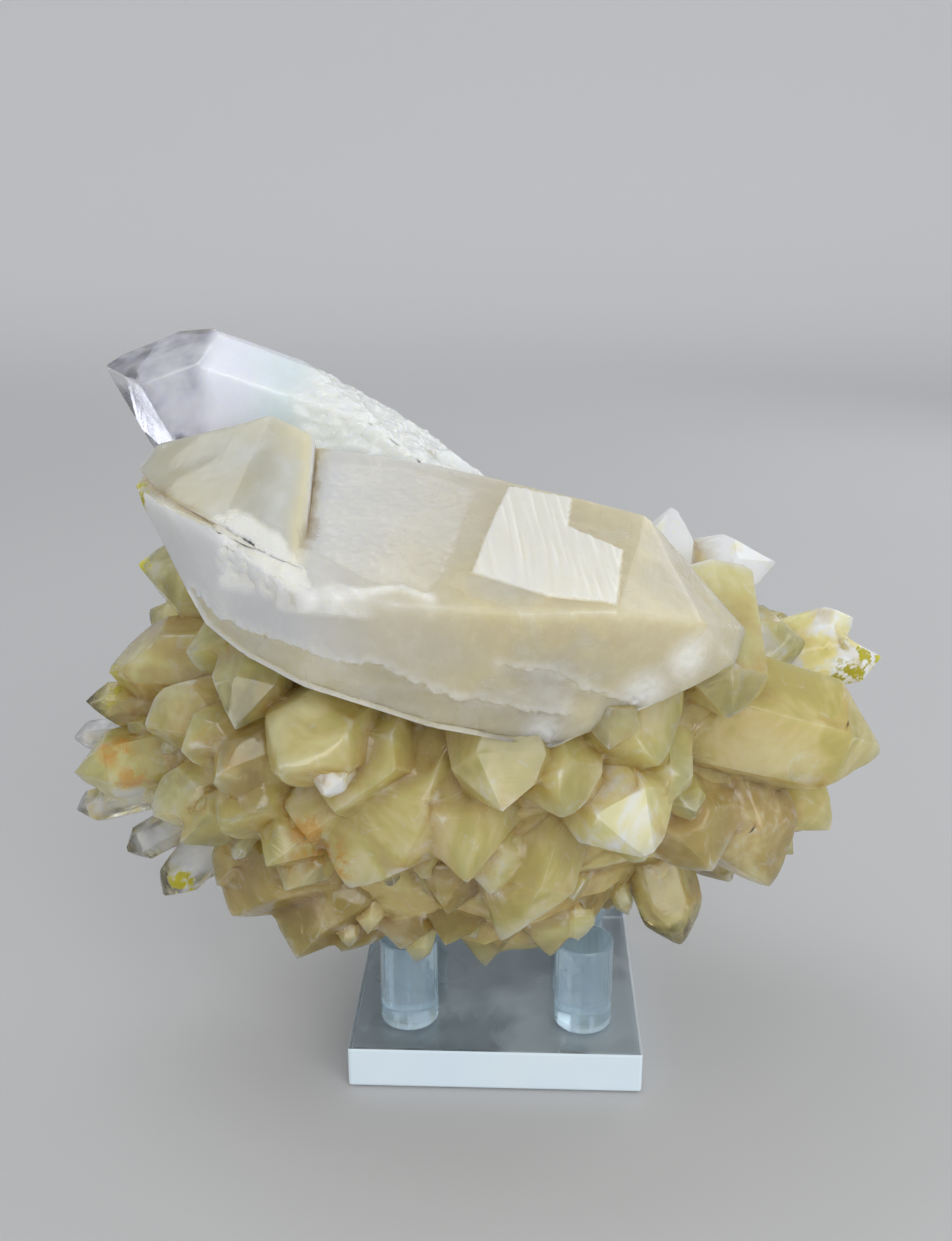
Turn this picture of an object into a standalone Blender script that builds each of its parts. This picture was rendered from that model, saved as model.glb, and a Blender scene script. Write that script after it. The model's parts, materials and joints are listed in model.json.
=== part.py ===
"""Chlorite quartz crystal cluster resting on a clear acrylic stand with four pegs.

The frame: X to the viewer's right, Y away from the viewer, Z up. The origin is the
centre of the underside of the stand's base. Lengths below are in millimetres.
"""
import math
import random
from collections import namedtuple

import bpy
import bmesh
from mathutils import Matrix, Vector

MM = 0.001

# Stand: a square base with a peg towards each corner.
BASE_SIDE = 63.5
BASE_THICKNESS = 9.5
BASE_EDGE_BEVEL = 0.6
PEG_DIAMETER = 12.7
PEG_TOP = 30.1
PEG_OFFSET = 19.2
PEG_EDGE_BEVEL = 0.6
PEG_SEGMENTS = 32
FIT_GAP = 0.3

# Cluster: the ground mass that the crystals grow from, as centre and half-lengths.
MATRIX_LUMPS = {
    "core": ((-7, -3, 72), (71, 42, 32)),
    "upper_core": ((-3, -10, 95), (52, 33, 20)),
    "lower_core": ((-8, -5, 50), (49, 32, 20)),
    "bottom_lump": ((2, -15, 38), (18, 11, 13)),
}

LUMP_ROUGHNESS = (0.93, 1.05)
LUMP_SEED = 40

# Quartz: the angle between a termination face and the crystal's long axis, and the
# share of its width by which a prism tapers towards the tip. The reach makes up for
# what the uneven termination faces take off the tip.
TERMINATION_ANGLE = math.radians(38.2)
TAPER = 0.10
TIP_REACH = 0.2
FLATNESS = 0.85
FOOT_UNEVENNESS = 0.10
FACE_TURN = 6
FACE_TILT = 3
MAJOR_FACE_DROP = 0.35
CRYSTAL_SEED = 100

# Back, sides and underside: rings of crystals around the long axis of the core.
FIELD_SEED = 11
FIELD_COLUMNS = 8
FIELD_HALF_LENGTH = 62
FIELD_ANGLES = (72, 104, 134, 164, 196, 228)
FIELD_ANGLE_SCATTER = 9
FIELD_SCATTER = 4
FIELD_ROOT_SPAN = 0.62
FIELD_TIP_SPAN = 1.12
FIELD_STAGGER = 6
FIELD_REACH_BACK = 52
FIELD_REACH_DOWN = 41
FIELD_REACH_UP = 36
FIELD_REACH_SCATTER = (0.88, 1.08)
FIELD_TIP_HEIGHT = 70
FIELD_ROOT_HEIGHT = 72
FIELD_HALF_SPAN = 88
FIELD_LEAST_SHRINK = 0.1
FIELD_WIDTH = (16, 25)
FIELD_END_WIDTH = 0.75
FIELD_UNEVENNESS = 0.35
FRONT_DEPTH = -14
FRONT_HALF_SPAN = 70

# The two ends: side, reach, and the tips as depth and height.
END_REACHES = ((-1, 84), (1, 74))
END_TIPS = ((8, 84), (16, 66), (4, 56), (26, 78), (24, 52), (14, 94))
END_SLANT = 0.35
END_SCATTER = 4
END_ROOT = (26, 2, 74)
END_WIDTH = (15, 21)

# The slope behind the two big crystals, along X, with its height as a curve.
SLOPE_COUNT = 7
SLOPE_START = -48
SLOPE_SPACING = 15
SLOPE_HEIGHT = 115
SLOPE_FALL = 0.28
SLOPE_CURVE = 0.0035
SLOPE_STAGGER = 10
SLOPE_DEPTH = 26
SLOPE_SCATTER = 3
SLOPE_DEPTH_SCATTER = (-4, 5)
SLOPE_ROOT_SPAN = 0.5
SLOPE_ROOT = (2, 86)
SLOPE_WIDTH = (15, 20)
OTHER_UNEVENNESS = 0.3
FULL_ROLL = 60

MERGE_DISTANCE = 0.02
FLAT_ANGLE = math.radians(0.6)

Crystal = namedtuple("Crystal", "tip root width thickness roll uneven")


def crystal(tip, root, width, thickness=None, roll=0, uneven=0.25):
    """A crystal by its tip, its buried root and its widths across the axis."""
    if thickness is None:
        thickness = FLATNESS * width
    return Crystal(Vector(tip), Vector(root), width, thickness, roll, uneven)


# The large clear crystal that points up to the left, behind the main one.
TOP_CRYSTAL = {
    "top_crystal": crystal((-86, 0, 152), (6, 6, 119), 27, 34, 4, 0.30),
    "top_crystal_ledge": crystal((-34, 8, 143), (2, 6, 108), 15, 12, 20, 0.50),
    "top_crystal_step": crystal((-20, 4, 135), (8, 4, 104), 12, 14, 50, 0.50),
    "top_crystal_heel": crystal((-7, 0, 126), (14, 0, 100), 13, 15, 10, 0.50),
    "top_crystal_toe": crystal((8, -2, 122), (20, 0, 98), 12, 14, 30, 0.40),
}

# The broken rear end of the top crystal: points on its rough slopes and the
# directions that the slopes face.
TOP_CRYSTAL_BREAKS = (
    ((-46, 5, 153), (0.34, 0.0, 0.94)),
    ((-36, 5, 148), (0.52, 0.1, 0.85)),
    ((-18, 5, 136), (0.60, -0.1, 0.79)),
    ((-8, 14, 127), (0.50, 0.6, 0.62)),
)

# The right side, from top to bottom.
RIGHT_CRYSTALS = {
    "right_small_top": crystal((36, -3, 124), (32, -4, 92), 14, 13, 10, 0.15),
    "right_white": crystal((59, 2, 110), (8, 0, 100), 19, 17, 0, 0.15),
    "right_clear": crystal((69, -4, 93), (24, -8, 95), 19, 16, 30, 0.30),
    "right_crust_high": crystal((78, 5, 96), (40, 4, 84), 12, 11, 0, 0.20),
    "right_crust_tip": crystal((84, 3, 89), (42, 2, 82), 13, 12, 15, 0.20),
    "right_crust_low": crystal((80, 0, 78), (44, 0, 82), 12, 11, 40, 0.20),
    "right_prism": crystal((80, -20, 75), (8, -24, 95), 24, 28, 4, 0.30),
    "right_bridge": crystal((36, -49, 85), (8, -14, 100), 27, 22, 30, 0.40),
    "right_hanging": crystal((45, -41, 90), (42, -14, 110), 17, 15, 0, 0.25),
    "right_under_tip": crystal((22, -51, 88), (20, -26, 106), 12, 11, 10, 0.20),
    "right_block": crystal((58, -26, 44), (40, -6, 82), 26, 23, 25, 0.20),
    "right_behind": crystal((76, -8, 51), (38, 2, 80), 20, 18, 0, 0.40),
    "right_behind_upper": crystal((82, -4, 65), (36, 0, 80), 18, 17, 20, 0.30),
    "right_brown": crystal((46, -36, 54), (28, -8, 82), 22, 19, 10, 0.35),
    "right_striped": crystal((33, -46, 75), (34, -20, 90), 11, 10, 0, 0.20),
    "right_low_pendant": crystal((41, -24, 30), (29, -8, 62), 16, 14, 5, 0.20),
    "right_low_inner": crystal((20, -29, 38), (16, -8, 64), 17, 15, 0, 0.30),
    "right_low_side": crystal((53, -10, 38), (34, -2, 66), 16, 15, 30, 0.30),
}

# The middle of the front, below the main crystal.
MIDDLE_CRYSTALS = {
    "middle_bright_face": crystal((31, -56, 68), (8, -12, 88), 23, 20, 0, 0.35),
    "middle_green": crystal((2, -45, 43), (17, -20, 88), 24, 19, 20, 0.15),
    "middle_upper": crystal((3, -59, 79), (-2, -16, 98), 22, 19, 25, 0.30),
    "middle_upper_right": crystal((14, -57, 76), (8, -16, 98), 18, 16, 0, 0.30),
    "middle_large": crystal((-27, -52, 55), (-9, -14, 96), 32, 26, 15, 0.25),
    "middle_large_twin": crystal((-5, -52, 60), (-8, -14, 94), 26, 22, 35, 0.30),
    "middle_golden": crystal((-11, -45, 49), (-6, -12, 76), 19, 17, 10, 0.30),
    "middle_light": crystal((-1, -48, 56), (2, -14, 84), 14, 13, 40, 0.25),
    "middle_low": crystal((-9, -37, 37), (-6, -10, 66), 15, 14, 0, 0.25),
    "middle_low_left": crystal((-21, -34, 32), (-14, -8, 62), 17, 16, 30, 0.30),
    "middle_foot_left": crystal((-32, -30, 28), (-20, -6, 60), 22, 19, 0, 0.30),
    "middle_foot_right": crystal((10, -29, 29), (8, -6, 60), 18, 16, 20, 0.35),
    "middle_foot": crystal((-1, -25, 23), (0, -4, 60), 20, 18, 50, 0.40),
}

# The left side, from top to bottom.
LEFT_CRYSTALS = {
    "left_behind_main": crystal((-82, 2, 107), (-34, 0, 96), 25, 21, 0, 0.30),
    "left_behind_upper": crystal((-76, 8, 117), (-30, 4, 100), 16, 15, 30, 0.30),
    "left_round": crystal((-86, -13, 91), (-36, -8, 90), 22, 20, 20, 0.35),
    "left_clear_small": crystal((-89, -13, 81), (-50, -8, 80), 12, 11, 0, 0.20),
    "left_clear_thin": crystal((-94, -8, 71), (-54, -6, 76), 7.5, 7, 10, 0.15),
    "left_yellow": crystal((-91, -18, 67), (-38, -10, 76), 18, 16, 25, 0.30),
    "left_clear_low": crystal((-96, -6, 52), (-52, -4, 64), 10, 9, 0, 0.20),
    "left_clear_lower": crystal((-83, -12, 45), (-50, -4, 62), 10, 9, 30, 0.20),
    "left_pendant": crystal((-74, -17, 36), (-52, -6, 62), 13, 11, 10, 0.15),
    "left_lilac": crystal((-62, -15, 37), (-42, -4, 60), 14, 12, 0, 0.25),
    "left_small_low": crystal((-60, -28, 46), (-42, -8, 64), 12, 11, 0, 0.20),
    "left_big_low": crystal((-59, -31, 34), (-30, -10, 66), 34, 29, 20, 0.30),
    "left_big_low_twin": crystal((-44, -33, 29), (-26, -8, 60), 29, 25, 40, 0.30),
    "left_facetted": crystal((-49, -48, 90), (-42, -20, 108), 16, 14, 0, 0.20),
    "left_ledge": crystal((-61, -36, 100), (-38, -14, 100), 15, 13, 15, 0.30),
    "left_hexagon": crystal((-38, -60, 88), (-26, -16, 88), 21, 19, 0, 0.20),
    "left_olive": crystal((-28, -54, 75), (-18, -14, 90), 23, 19, 30, 0.30),
    "left_bright_bead": crystal((-31, -56, 81), (-24, -24, 88), 7, 7, 0, 0.20),
    "left_front_upper": crystal((-61, -43, 82), (-36, -12, 86), 16, 14, 25, 0.25),
    "left_front_far": crystal((-72, -35, 85), (-40, -10, 84), 18, 15, 0, 0.30),
    "left_front_near": crystal((-52, -49, 79), (-32, -12, 84), 17, 15, 40, 0.30),
    "left_front_low": crystal((-71, -35, 66), (-40, -10, 72), 16, 14, 10, 0.25),
    "left_front_lower": crystal((-63, -40, 62), (-38, -10, 72), 14, 13, 50, 0.20),
    "left_front_middle": crystal((-53, -48, 69), (-32, -10, 76), 18, 16, 20, 0.30),
    "left_front_inner": crystal((-45, -49, 61), (-28, -12, 74), 17, 15, 0, 0.25),
    "left_front_core": crystal((-37, -51, 67), (-26, -12, 78), 18, 16, 30, 0.30),
    "left_bead_low": crystal((-41, -44, 53), (-30, -12, 68), 13, 12, 0, 0.20),
}

# Crystals whose tips stand on the pegs.
REST_CRYSTALS = {
    "rest_front_left": crystal((-18, -16.5, 27.3), (-13, -8, 60), 17, 15, 10, 0.35),
    "rest_back_left": crystal((-19, 18.5, 26.5), (-15, 11, 62), 20, 17, 20, 0.35),
    "rest_back_right": crystal((19, 18.5, 26.5), (15, 11, 62), 21, 18, 45, 0.35),
}

# The main crystal: corners of its outline, of its front edge and of its back, and
# the corners of the shoulder that has grown on its upper left.
MAIN_CRYSTAL = {
    "main_crystal": (
        (-68, -32, 133), (-66, -22, 137), (-60, -19, 138), (-34, -20, 138), (-13, -20, 135), (3, -19, 131),
        (29, -20, 125), (48, -30, 105), (45, -38, 101), (36, -44, 98), (10, -50, 88),
        (-12, -54, 94), (-34, -53, 101), (-45, -49, 105), (-54, -42, 109), (-66, -35, 130),
        (-60, -41, 131), (-49, -47, 128), (-34, -57, 119), (-18, -60, 119), (6, -59, 117),
        (21, -57, 117), (37, -47, 112), (-58, -10, 126), (-40, -4, 126), (4, -4, 118),
        (26, -8, 112), (36, -18, 98), (6, -22, 86), (-44, -20, 98)),
    "main_shoulder": (
        (-69, -27, 135), (-66, -22, 139), (-48, -24, 142), (-43, -24, 145), (-35, -24, 141),
        (-33, -54, 122), (-49, -47, 129), (-61, -38, 132), (-36, -10, 128), (-58, -12, 128)),
}


def remove_everything():
    """Start from an empty scene."""
    for item in list(bpy.data.objects):
        bpy.data.objects.remove(item)


def new_collection(name):
    """A collection linked to the scene."""
    group = bpy.data.collections.new(name)
    bpy.context.scene.collection.children.link(group)
    return group


def make_material(name, colour, roughness, transmission, ior):
    """A Principled material for a clear or milky part."""
    material = bpy.data.materials.new(name)
    material.use_nodes = True
    shader = material.node_tree.nodes["Principled BSDF"]
    shader.inputs["Base Color"].default_value = (*colour, 1)
    shader.inputs["Roughness"].default_value = roughness
    shader.inputs["Metallic"].default_value = 0
    shader.inputs["Transmission Weight"].default_value = transmission
    shader.inputs["IOR"].default_value = ior
    return material


def object_from_bmesh(name, bm, group):
    """Make an object of a bmesh and link it."""
    mesh = bpy.data.meshes.new(name)
    bmesh.ops.recalc_face_normals(bm, faces=bm.faces)
    bm.to_mesh(mesh)
    bm.free()
    thing = bpy.data.objects.new(name, mesh)
    group.objects.link(thing)
    return thing


def cut_away(bm, point, outward):
    """Slice off what lies outside a plane and close the cut."""
    geometry = bm.verts[:] + bm.edges[:] + bm.faces[:]
    result = bmesh.ops.bisect_plane(
        bm, geom=geometry, dist=1e-7, plane_co=point, plane_no=outward, clear_outer=True)
    rim = [item for item in result["geom_cut"] if isinstance(item, bmesh.types.BMEdge)]
    rim = [edge for edge in rim if edge.is_boundary]
    if rim:
        bmesh.ops.edgeloop_fill(bm, edges=rim)


def grow_crystal(name, spec, seed, group):
    """A tapering six-sided prism with six unequal termination faces at its tip."""
    dice = random.Random(seed)
    axis = spec.tip - spec.root
    length = (axis.length + TIP_REACH * spec.uneven * spec.width) * MM
    half_width = 0.5 * spec.width * MM
    half_thickness = 0.5 * spec.thickness * MM
    bm = bmesh.new()
    bmesh.ops.create_cone(
        bm, cap_ends=True, cap_tris=False, segments=6, depth=length,
        radius1=1 + TAPER, radius2=1 - TAPER)
    bmesh.ops.translate(bm, verts=bm.verts, vec=(0, 0, length / 2))
    for vert in bm.verts:
        at_foot = vert.co.z < length / 2
        stretch = 1 + dice.uniform(-FOOT_UNEVENNESS, FOOT_UNEVENNESS) if at_foot else 1
        vert.co.x *= half_width * stretch
        vert.co.y *= half_thickness * stretch
    for side in range(6):
        around = math.radians(60 * side + dice.uniform(-FACE_TURN, FACE_TURN))
        steep = TERMINATION_ANGLE + math.radians(dice.uniform(-FACE_TILT, FACE_TILT))
        normal = Vector((
            math.cos(around) * math.cos(steep),
            math.sin(around) * math.cos(steep),
            math.sin(steep)))
        drop = dice.uniform(0, spec.uneven) * (1 if side % 2 else MAJOR_FACE_DROP)
        cut_away(bm, Vector((0, 0, length - drop * spec.width * MM)), normal)
    turn = axis.to_track_quat("Z", "Y").to_matrix().to_4x4()
    roll = Matrix.Rotation(math.radians(spec.roll), 4, "Z")
    place = Matrix.Translation(spec.root * MM) @ turn @ roll
    bmesh.ops.transform(bm, matrix=place, verts=bm.verts)
    return object_from_bmesh(name, bm, group)


def break_rear_end(crystal_object):
    """Cut the rough slopes at the rear end of the top crystal."""
    bm = bmesh.new()
    bm.from_mesh(crystal_object.data)
    for point, outward in TOP_CRYSTAL_BREAKS:
        cut_away(bm, Vector(point) * MM, Vector(outward).normalized())
    bm.to_mesh(crystal_object.data)
    bm.free()


def grow_from_corners(name, corners, group):
    """A big uneven crystal, the closed convex form around its corners."""
    bm = bmesh.new()
    for corner in corners:
        bm.verts.new(Vector(corner) * MM)
    bmesh.ops.convex_hull(bm, input=bm.verts[:])
    loose = [vert for vert in bm.verts if not vert.link_faces]
    bmesh.ops.delete(bm, geom=loose, context="VERTS")
    return object_from_bmesh(name, bm, group)


def make_lump(name, centre, radii, seed, group):
    """A rough faceted lump of the ground mass."""
    dice = random.Random(seed)
    bm = bmesh.new()
    bmesh.ops.create_icosphere(bm, subdivisions=2, radius=1)
    for vert in bm.verts:
        vert.co *= dice.uniform(*LUMP_ROUGHNESS)
    bmesh.ops.scale(bm, verts=bm.verts, vec=Vector(radii) * MM)
    bmesh.ops.translate(bm, verts=bm.verts, vec=Vector(centre) * MM)
    return object_from_bmesh(name, bm, group)


def field_crystals():
    """Crystals on the back, underside and ends, fanned out around the core."""
    dice = random.Random(FIELD_SEED)
    field = {}
    for column in range(FIELD_COLUMNS):
        along = FIELD_HALF_LENGTH * (2 * column / (FIELD_COLUMNS - 1) - 1)
        for row, degrees in enumerate(FIELD_ANGLES):
            angle = math.radians(degrees + dice.uniform(-FIELD_ANGLE_SCATTER, FIELD_ANGLE_SCATTER))
            root_x = along * FIELD_ROOT_SPAN + dice.uniform(-FIELD_SCATTER, FIELD_SCATTER)
            stagger = FIELD_STAGGER if row % 2 else -FIELD_STAGGER
            tip_x = along * FIELD_TIP_SPAN + stagger + dice.uniform(-FIELD_SCATTER, FIELD_SCATTER)
            shrink = math.sqrt(max(FIELD_LEAST_SHRINK, 1 - (tip_x / FIELD_HALF_SPAN) ** 2))
            reach_z = FIELD_REACH_DOWN if math.sin(angle) > 0 else FIELD_REACH_UP
            reach = shrink * dice.uniform(*FIELD_REACH_SCATTER)
            tip_y = -math.cos(angle) * FIELD_REACH_BACK * reach
            tip_z = FIELD_TIP_HEIGHT - math.sin(angle) * reach_z * reach
            narrowing = FIELD_END_WIDTH + (1 - FIELD_END_WIDTH) * shrink
            width = dice.uniform(*FIELD_WIDTH) * narrowing
            roll = dice.uniform(0, FULL_ROLL)
            if tip_y < FRONT_DEPTH and abs(tip_x) < FRONT_HALF_SPAN:
                continue
            root = (root_x, 0, FIELD_ROOT_HEIGHT)
            field[f"field_{column}_{row}"] = crystal(
                (tip_x, tip_y, tip_z), root, width, None, roll, FIELD_UNEVENNESS)
    return field


def end_crystals():
    """Crystals that point outward at the two ends, behind the ones in front."""
    dice = random.Random(FIELD_SEED + 1)
    ends = {}
    for side, reach in END_REACHES:
        for step, (tip_y, tip_z) in enumerate(END_TIPS):
            tip_x = side * (reach - END_SLANT * tip_y + dice.uniform(-END_SCATTER, END_SCATTER))
            root = (side * END_ROOT[0], *END_ROOT[1:])
            width = dice.uniform(*END_WIDTH)
            roll = dice.uniform(0, FULL_ROLL)
            ends[f"end_{side + 1}_{step}"] = crystal(
                (tip_x, tip_y, tip_z), root, width, None, roll, OTHER_UNEVENNESS)
    return ends


def back_top_crystals():
    """Short crystals on the slope behind the two big crystals."""
    dice = random.Random(FIELD_SEED + 2)
    slope = {}
    for step in range(SLOPE_COUNT):
        along = SLOPE_START + SLOPE_SPACING * step
        height = SLOPE_HEIGHT - SLOPE_FALL * along - SLOPE_CURVE * along * along
        tip_x = along + dice.uniform(-SLOPE_SCATTER, SLOPE_SCATTER)
        tip_y = SLOPE_DEPTH + dice.uniform(*SLOPE_DEPTH_SCATTER)
        tip = (tip_x, tip_y, height - SLOPE_STAGGER * (step % 2))
        root = (SLOPE_ROOT_SPAN * along, *SLOPE_ROOT)
        width = dice.uniform(*SLOPE_WIDTH)
        roll = dice.uniform(0, FULL_ROLL)
        slope[f"slope_{step}"] = crystal(tip, root, width, None, roll, OTHER_UNEVENNESS)
    return slope


def outer_skin(bm):
    """Keep only the largest connected shell of a mesh."""
    waiting = set(bm.verts)
    shells = []
    while waiting:
        start = waiting.pop()
        shell = {start}
        front = [start]
        while front:
            vert = front.pop()
            for edge in vert.link_edges:
                other = edge.other_vert(vert)
                if other in waiting:
                    waiting.remove(other)
                    shell.add(other)
                    front.append(other)
        shells.append(shell)
    largest = max(shells, key=len)
    extra = [vert for vert in bm.verts if vert not in largest]
    bmesh.ops.delete(bm, geom=extra, context="VERTS")


def join_cluster(lump, growth, cutters, group):
    """Join the ground mass and all crystals in one solid that clears the pegs."""
    union = lump.modifiers.new("grown_together", "BOOLEAN")
    union.operation = "UNION"
    union.solver = "EXACT"
    union.operand_type = "COLLECTION"
    union.collection = growth
    union.use_self = True
    clear = lump.modifiers.new("clear_of_pegs", "BOOLEAN")
    clear.operation = "DIFFERENCE"
    clear.solver = "EXACT"
    clear.operand_type = "COLLECTION"
    clear.collection = cutters
    depsgraph = bpy.context.evaluated_depsgraph_get()
    joined = bpy.data.meshes.new_from_object(lump.evaluated_get(depsgraph))
    bm = bmesh.new()
    bm.from_mesh(joined)
    outer_skin(bm)
    bmesh.ops.remove_doubles(bm, verts=bm.verts, dist=MERGE_DISTANCE * MM)
    bmesh.ops.dissolve_degenerate(bm, edges=bm.edges, dist=MERGE_DISTANCE * MM)
    bmesh.ops.dissolve_limit(bm, angle_limit=FLAT_ANGLE, verts=bm.verts, edges=bm.edges)
    bmesh.ops.triangulate(bm, faces=bm.faces)
    cluster = object_from_bmesh("quartz_cluster", bm, group)
    return cluster


def make_peg_clearance(name, across, away, group):
    """The room kept free around one peg."""
    bm = bmesh.new()
    height = (PEG_TOP + FIT_GAP) * MM
    radius = (0.5 * PEG_DIAMETER + FIT_GAP) * MM
    bmesh.ops.create_cone(
        bm, cap_ends=True, segments=PEG_SEGMENTS // 2, radius1=radius, radius2=radius, depth=height)
    bmesh.ops.translate(
        bm, verts=bm.verts, vec=(across * PEG_OFFSET * MM, away * PEG_OFFSET * MM, height / 2))
    return object_from_bmesh(name, bm, group)


def hide_helpers(group):
    """Helpers show as wires and don't render."""
    for helper in group.objects:
        helper.hide_render = True
        helper.display_type = "WIRE"


def make_cluster(group):
    """The whole quartz cluster as one grown piece."""
    growth = new_collection("cluster_growth")
    seeds = new_collection("cluster_ground_mass")
    cutters = new_collection("cutters")
    lumps = []
    for index, (name, (centre, radii)) in enumerate(MATRIX_LUMPS.items()):
        target = growth if lumps else seeds
        lumps.append(make_lump(name, centre, radii, LUMP_SEED + index, target))
    for name, corners in MAIN_CRYSTAL.items():
        grow_from_corners(name, corners, growth)
    everything = {}
    for source in (TOP_CRYSTAL, RIGHT_CRYSTALS, MIDDLE_CRYSTALS, LEFT_CRYSTALS,
                   field_crystals(), end_crystals(), back_top_crystals(), REST_CRYSTALS):
        everything.update(source)
    for index, (name, spec) in enumerate(everything.items()):
        grown = grow_crystal(name, spec, CRYSTAL_SEED + index, growth)
        if name == "top_crystal":
            break_rear_end(grown)
    for across in (-1, 1):
        for away in (-1, 1):
            make_peg_clearance(f"peg_clearance_{across + 1}_{away + 1}", across, away, cutters)
    cluster = join_cluster(lumps[0], growth, cutters, group)
    for helpers in (growth, seeds, cutters):
        hide_helpers(helpers)
    return cluster


def make_base(group):
    """The square base plate of the stand."""
    bm = bmesh.new()
    bmesh.ops.create_cube(bm, size=1)
    size = Vector((BASE_SIDE, BASE_SIDE, BASE_THICKNESS)) * MM
    bmesh.ops.scale(bm, verts=bm.verts, vec=size)
    bmesh.ops.translate(bm, verts=bm.verts, vec=(0, 0, size.z / 2))
    base = object_from_bmesh("stand_base", bm, group)
    bevel = base.modifiers.new("polished_edges", "BEVEL")
    bevel.width = BASE_EDGE_BEVEL * MM
    bevel.segments = 2
    return base


def make_peg(name, across, away, group):
    """One round peg that stands on the base."""
    bm = bmesh.new()
    foot = BASE_THICKNESS + FIT_GAP
    height = (PEG_TOP - foot) * MM
    radius = 0.5 * PEG_DIAMETER * MM
    bmesh.ops.create_cone(
        bm, cap_ends=True, segments=PEG_SEGMENTS, radius1=radius, radius2=radius, depth=height)
    peg = object_from_bmesh(name, bm, group)
    peg.location = (across * PEG_OFFSET * MM, away * PEG_OFFSET * MM, foot * MM + height / 2)
    bevel = peg.modifiers.new("polished_edges", "BEVEL")
    bevel.width = PEG_EDGE_BEVEL * MM
    bevel.segments = 2
    bevel.limit_method = "ANGLE"
    peg.data.shade_smooth()
    peg.data.set_sharp_from_angle(angle=math.radians(35))
    return peg


def main():
    """Build the cluster and its stand."""
    remove_everything()
    parts = new_collection("chlorite_quartz_crystal")
    quartz = make_material("milky_quartz", (0.78, 0.75, 0.62), 0.18, 0.45, 1.54)
    acrylic = make_material("clear_acrylic", (0.93, 0.95, 1.0), 0.03, 0.97, 1.49)
    cluster = make_cluster(parts)
    cluster.data.materials.append(quartz)
    stand = [make_base(parts)]
    for name, across, away in (
            ("peg_front_left", -1, -1), ("peg_front_right", 1, -1),
            ("peg_back_left", -1, 1), ("peg_back_right", 1, 1)):
        stand.append(make_peg(name, across, away, parts))
    for piece in stand:
        piece.data.materials.append(acrylic)


main()
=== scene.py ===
"""Looks of the chlorite quartz crystal cluster on its clear acrylic peg stand.

Lengths are in millimetres up to the point where a mesh is made, in the frame of the
part: X to the right, Y away from the viewer, Z up, origin under the stand's base.
"""
import json
import math
import random
from collections import namedtuple

import bpy
import bmesh
import numpy as np
from mathutils import Matrix, Vector, noise

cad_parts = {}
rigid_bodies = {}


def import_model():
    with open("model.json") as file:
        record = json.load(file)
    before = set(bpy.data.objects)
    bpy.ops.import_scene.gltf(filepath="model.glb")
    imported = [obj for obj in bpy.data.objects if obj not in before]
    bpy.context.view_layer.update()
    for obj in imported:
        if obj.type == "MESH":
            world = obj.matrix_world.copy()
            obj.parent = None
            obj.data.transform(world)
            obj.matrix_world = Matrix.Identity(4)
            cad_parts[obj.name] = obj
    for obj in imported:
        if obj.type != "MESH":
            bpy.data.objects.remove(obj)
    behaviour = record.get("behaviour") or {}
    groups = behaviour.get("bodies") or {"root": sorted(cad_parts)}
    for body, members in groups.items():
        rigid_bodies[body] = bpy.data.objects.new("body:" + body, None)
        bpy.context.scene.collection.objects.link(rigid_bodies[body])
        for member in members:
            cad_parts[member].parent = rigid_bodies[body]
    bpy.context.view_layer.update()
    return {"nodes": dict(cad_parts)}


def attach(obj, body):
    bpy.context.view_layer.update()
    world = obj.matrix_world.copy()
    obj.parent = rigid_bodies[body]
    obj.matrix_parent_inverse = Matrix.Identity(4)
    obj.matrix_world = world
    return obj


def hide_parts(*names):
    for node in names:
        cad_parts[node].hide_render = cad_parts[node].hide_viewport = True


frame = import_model()

MM = 0.001

# Cluster: the ground mass that the crystals grow from, as centre and half-lengths.
MATRIX_LUMPS = {
    "core": ((-7, -3, 72), (71, 42, 32)),
    "upper_core": ((-3, -10, 95), (52, 33, 20)),
    "lower_core": ((-8, -5, 50), (49, 32, 20)),
    "bottom_lump": ((2, -15, 38), (18, 11, 13)),
}

# Quartz: the angle between a termination face and the crystal's long axis, and the
# share of its width by which a prism tapers towards the tip. The reach makes up for
# what the uneven termination faces take off the tip.
TERMINATION_ANGLE = math.radians(38.2)
TAPER = 0.10
TIP_REACH = 0.2

# Back, sides and underside: rings of crystals around the long axis of the core.
FIELD_SEED = 11
FIELD_COLUMNS = 8
FIELD_HALF_LENGTH = 62
FIELD_ANGLES = (72, 104, 134, 164, 196, 228)
FIELD_REACH_BACK = 52
FIELD_REACH_DOWN = 41
FIELD_REACH_UP = 36
FIELD_HALF_SPAN = 88
FIELD_WIDTH = (16, 25)

Crystal = namedtuple("Crystal", "tip root width thickness roll uneven")


def crystal(tip, root, width, thickness=None, roll=0, uneven=0.25):
    """A crystal by its tip, its buried root and its widths across the axis."""
    if thickness is None:
        thickness = 0.85 * width
    return Crystal(Vector(tip), Vector(root), width, thickness, roll, uneven)


# The large clear crystal that points up to the left, behind the main one.
TOP_CRYSTAL = {
    "top_crystal": crystal((-86, 0, 152), (6, 6, 119), 27, 34, 4, 0.30),
    "top_crystal_ledge": crystal((-34, 8, 143), (2, 6, 108), 15, 12, 20, 0.50),
    "top_crystal_step": crystal((-20, 4, 135), (8, 4, 104), 12, 14, 50, 0.50),
    "top_crystal_heel": crystal((-7, 0, 126), (14, 0, 100), 13, 15, 10, 0.50),
    "top_crystal_toe": crystal((8, -2, 122), (20, 0, 98), 12, 14, 30, 0.40),
}

# The broken rear end of the top crystal: points on its rough slopes and the
# directions that the slopes face.
TOP_CRYSTAL_BREAKS = (
    ((-46, 5, 153), (0.34, 0.0, 0.94)),
    ((-36, 5, 148), (0.52, 0.1, 0.85)),
    ((-18, 5, 136), (0.60, -0.1, 0.79)),
    ((-8, 14, 127), (0.50, 0.6, 0.62)),
)

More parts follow.
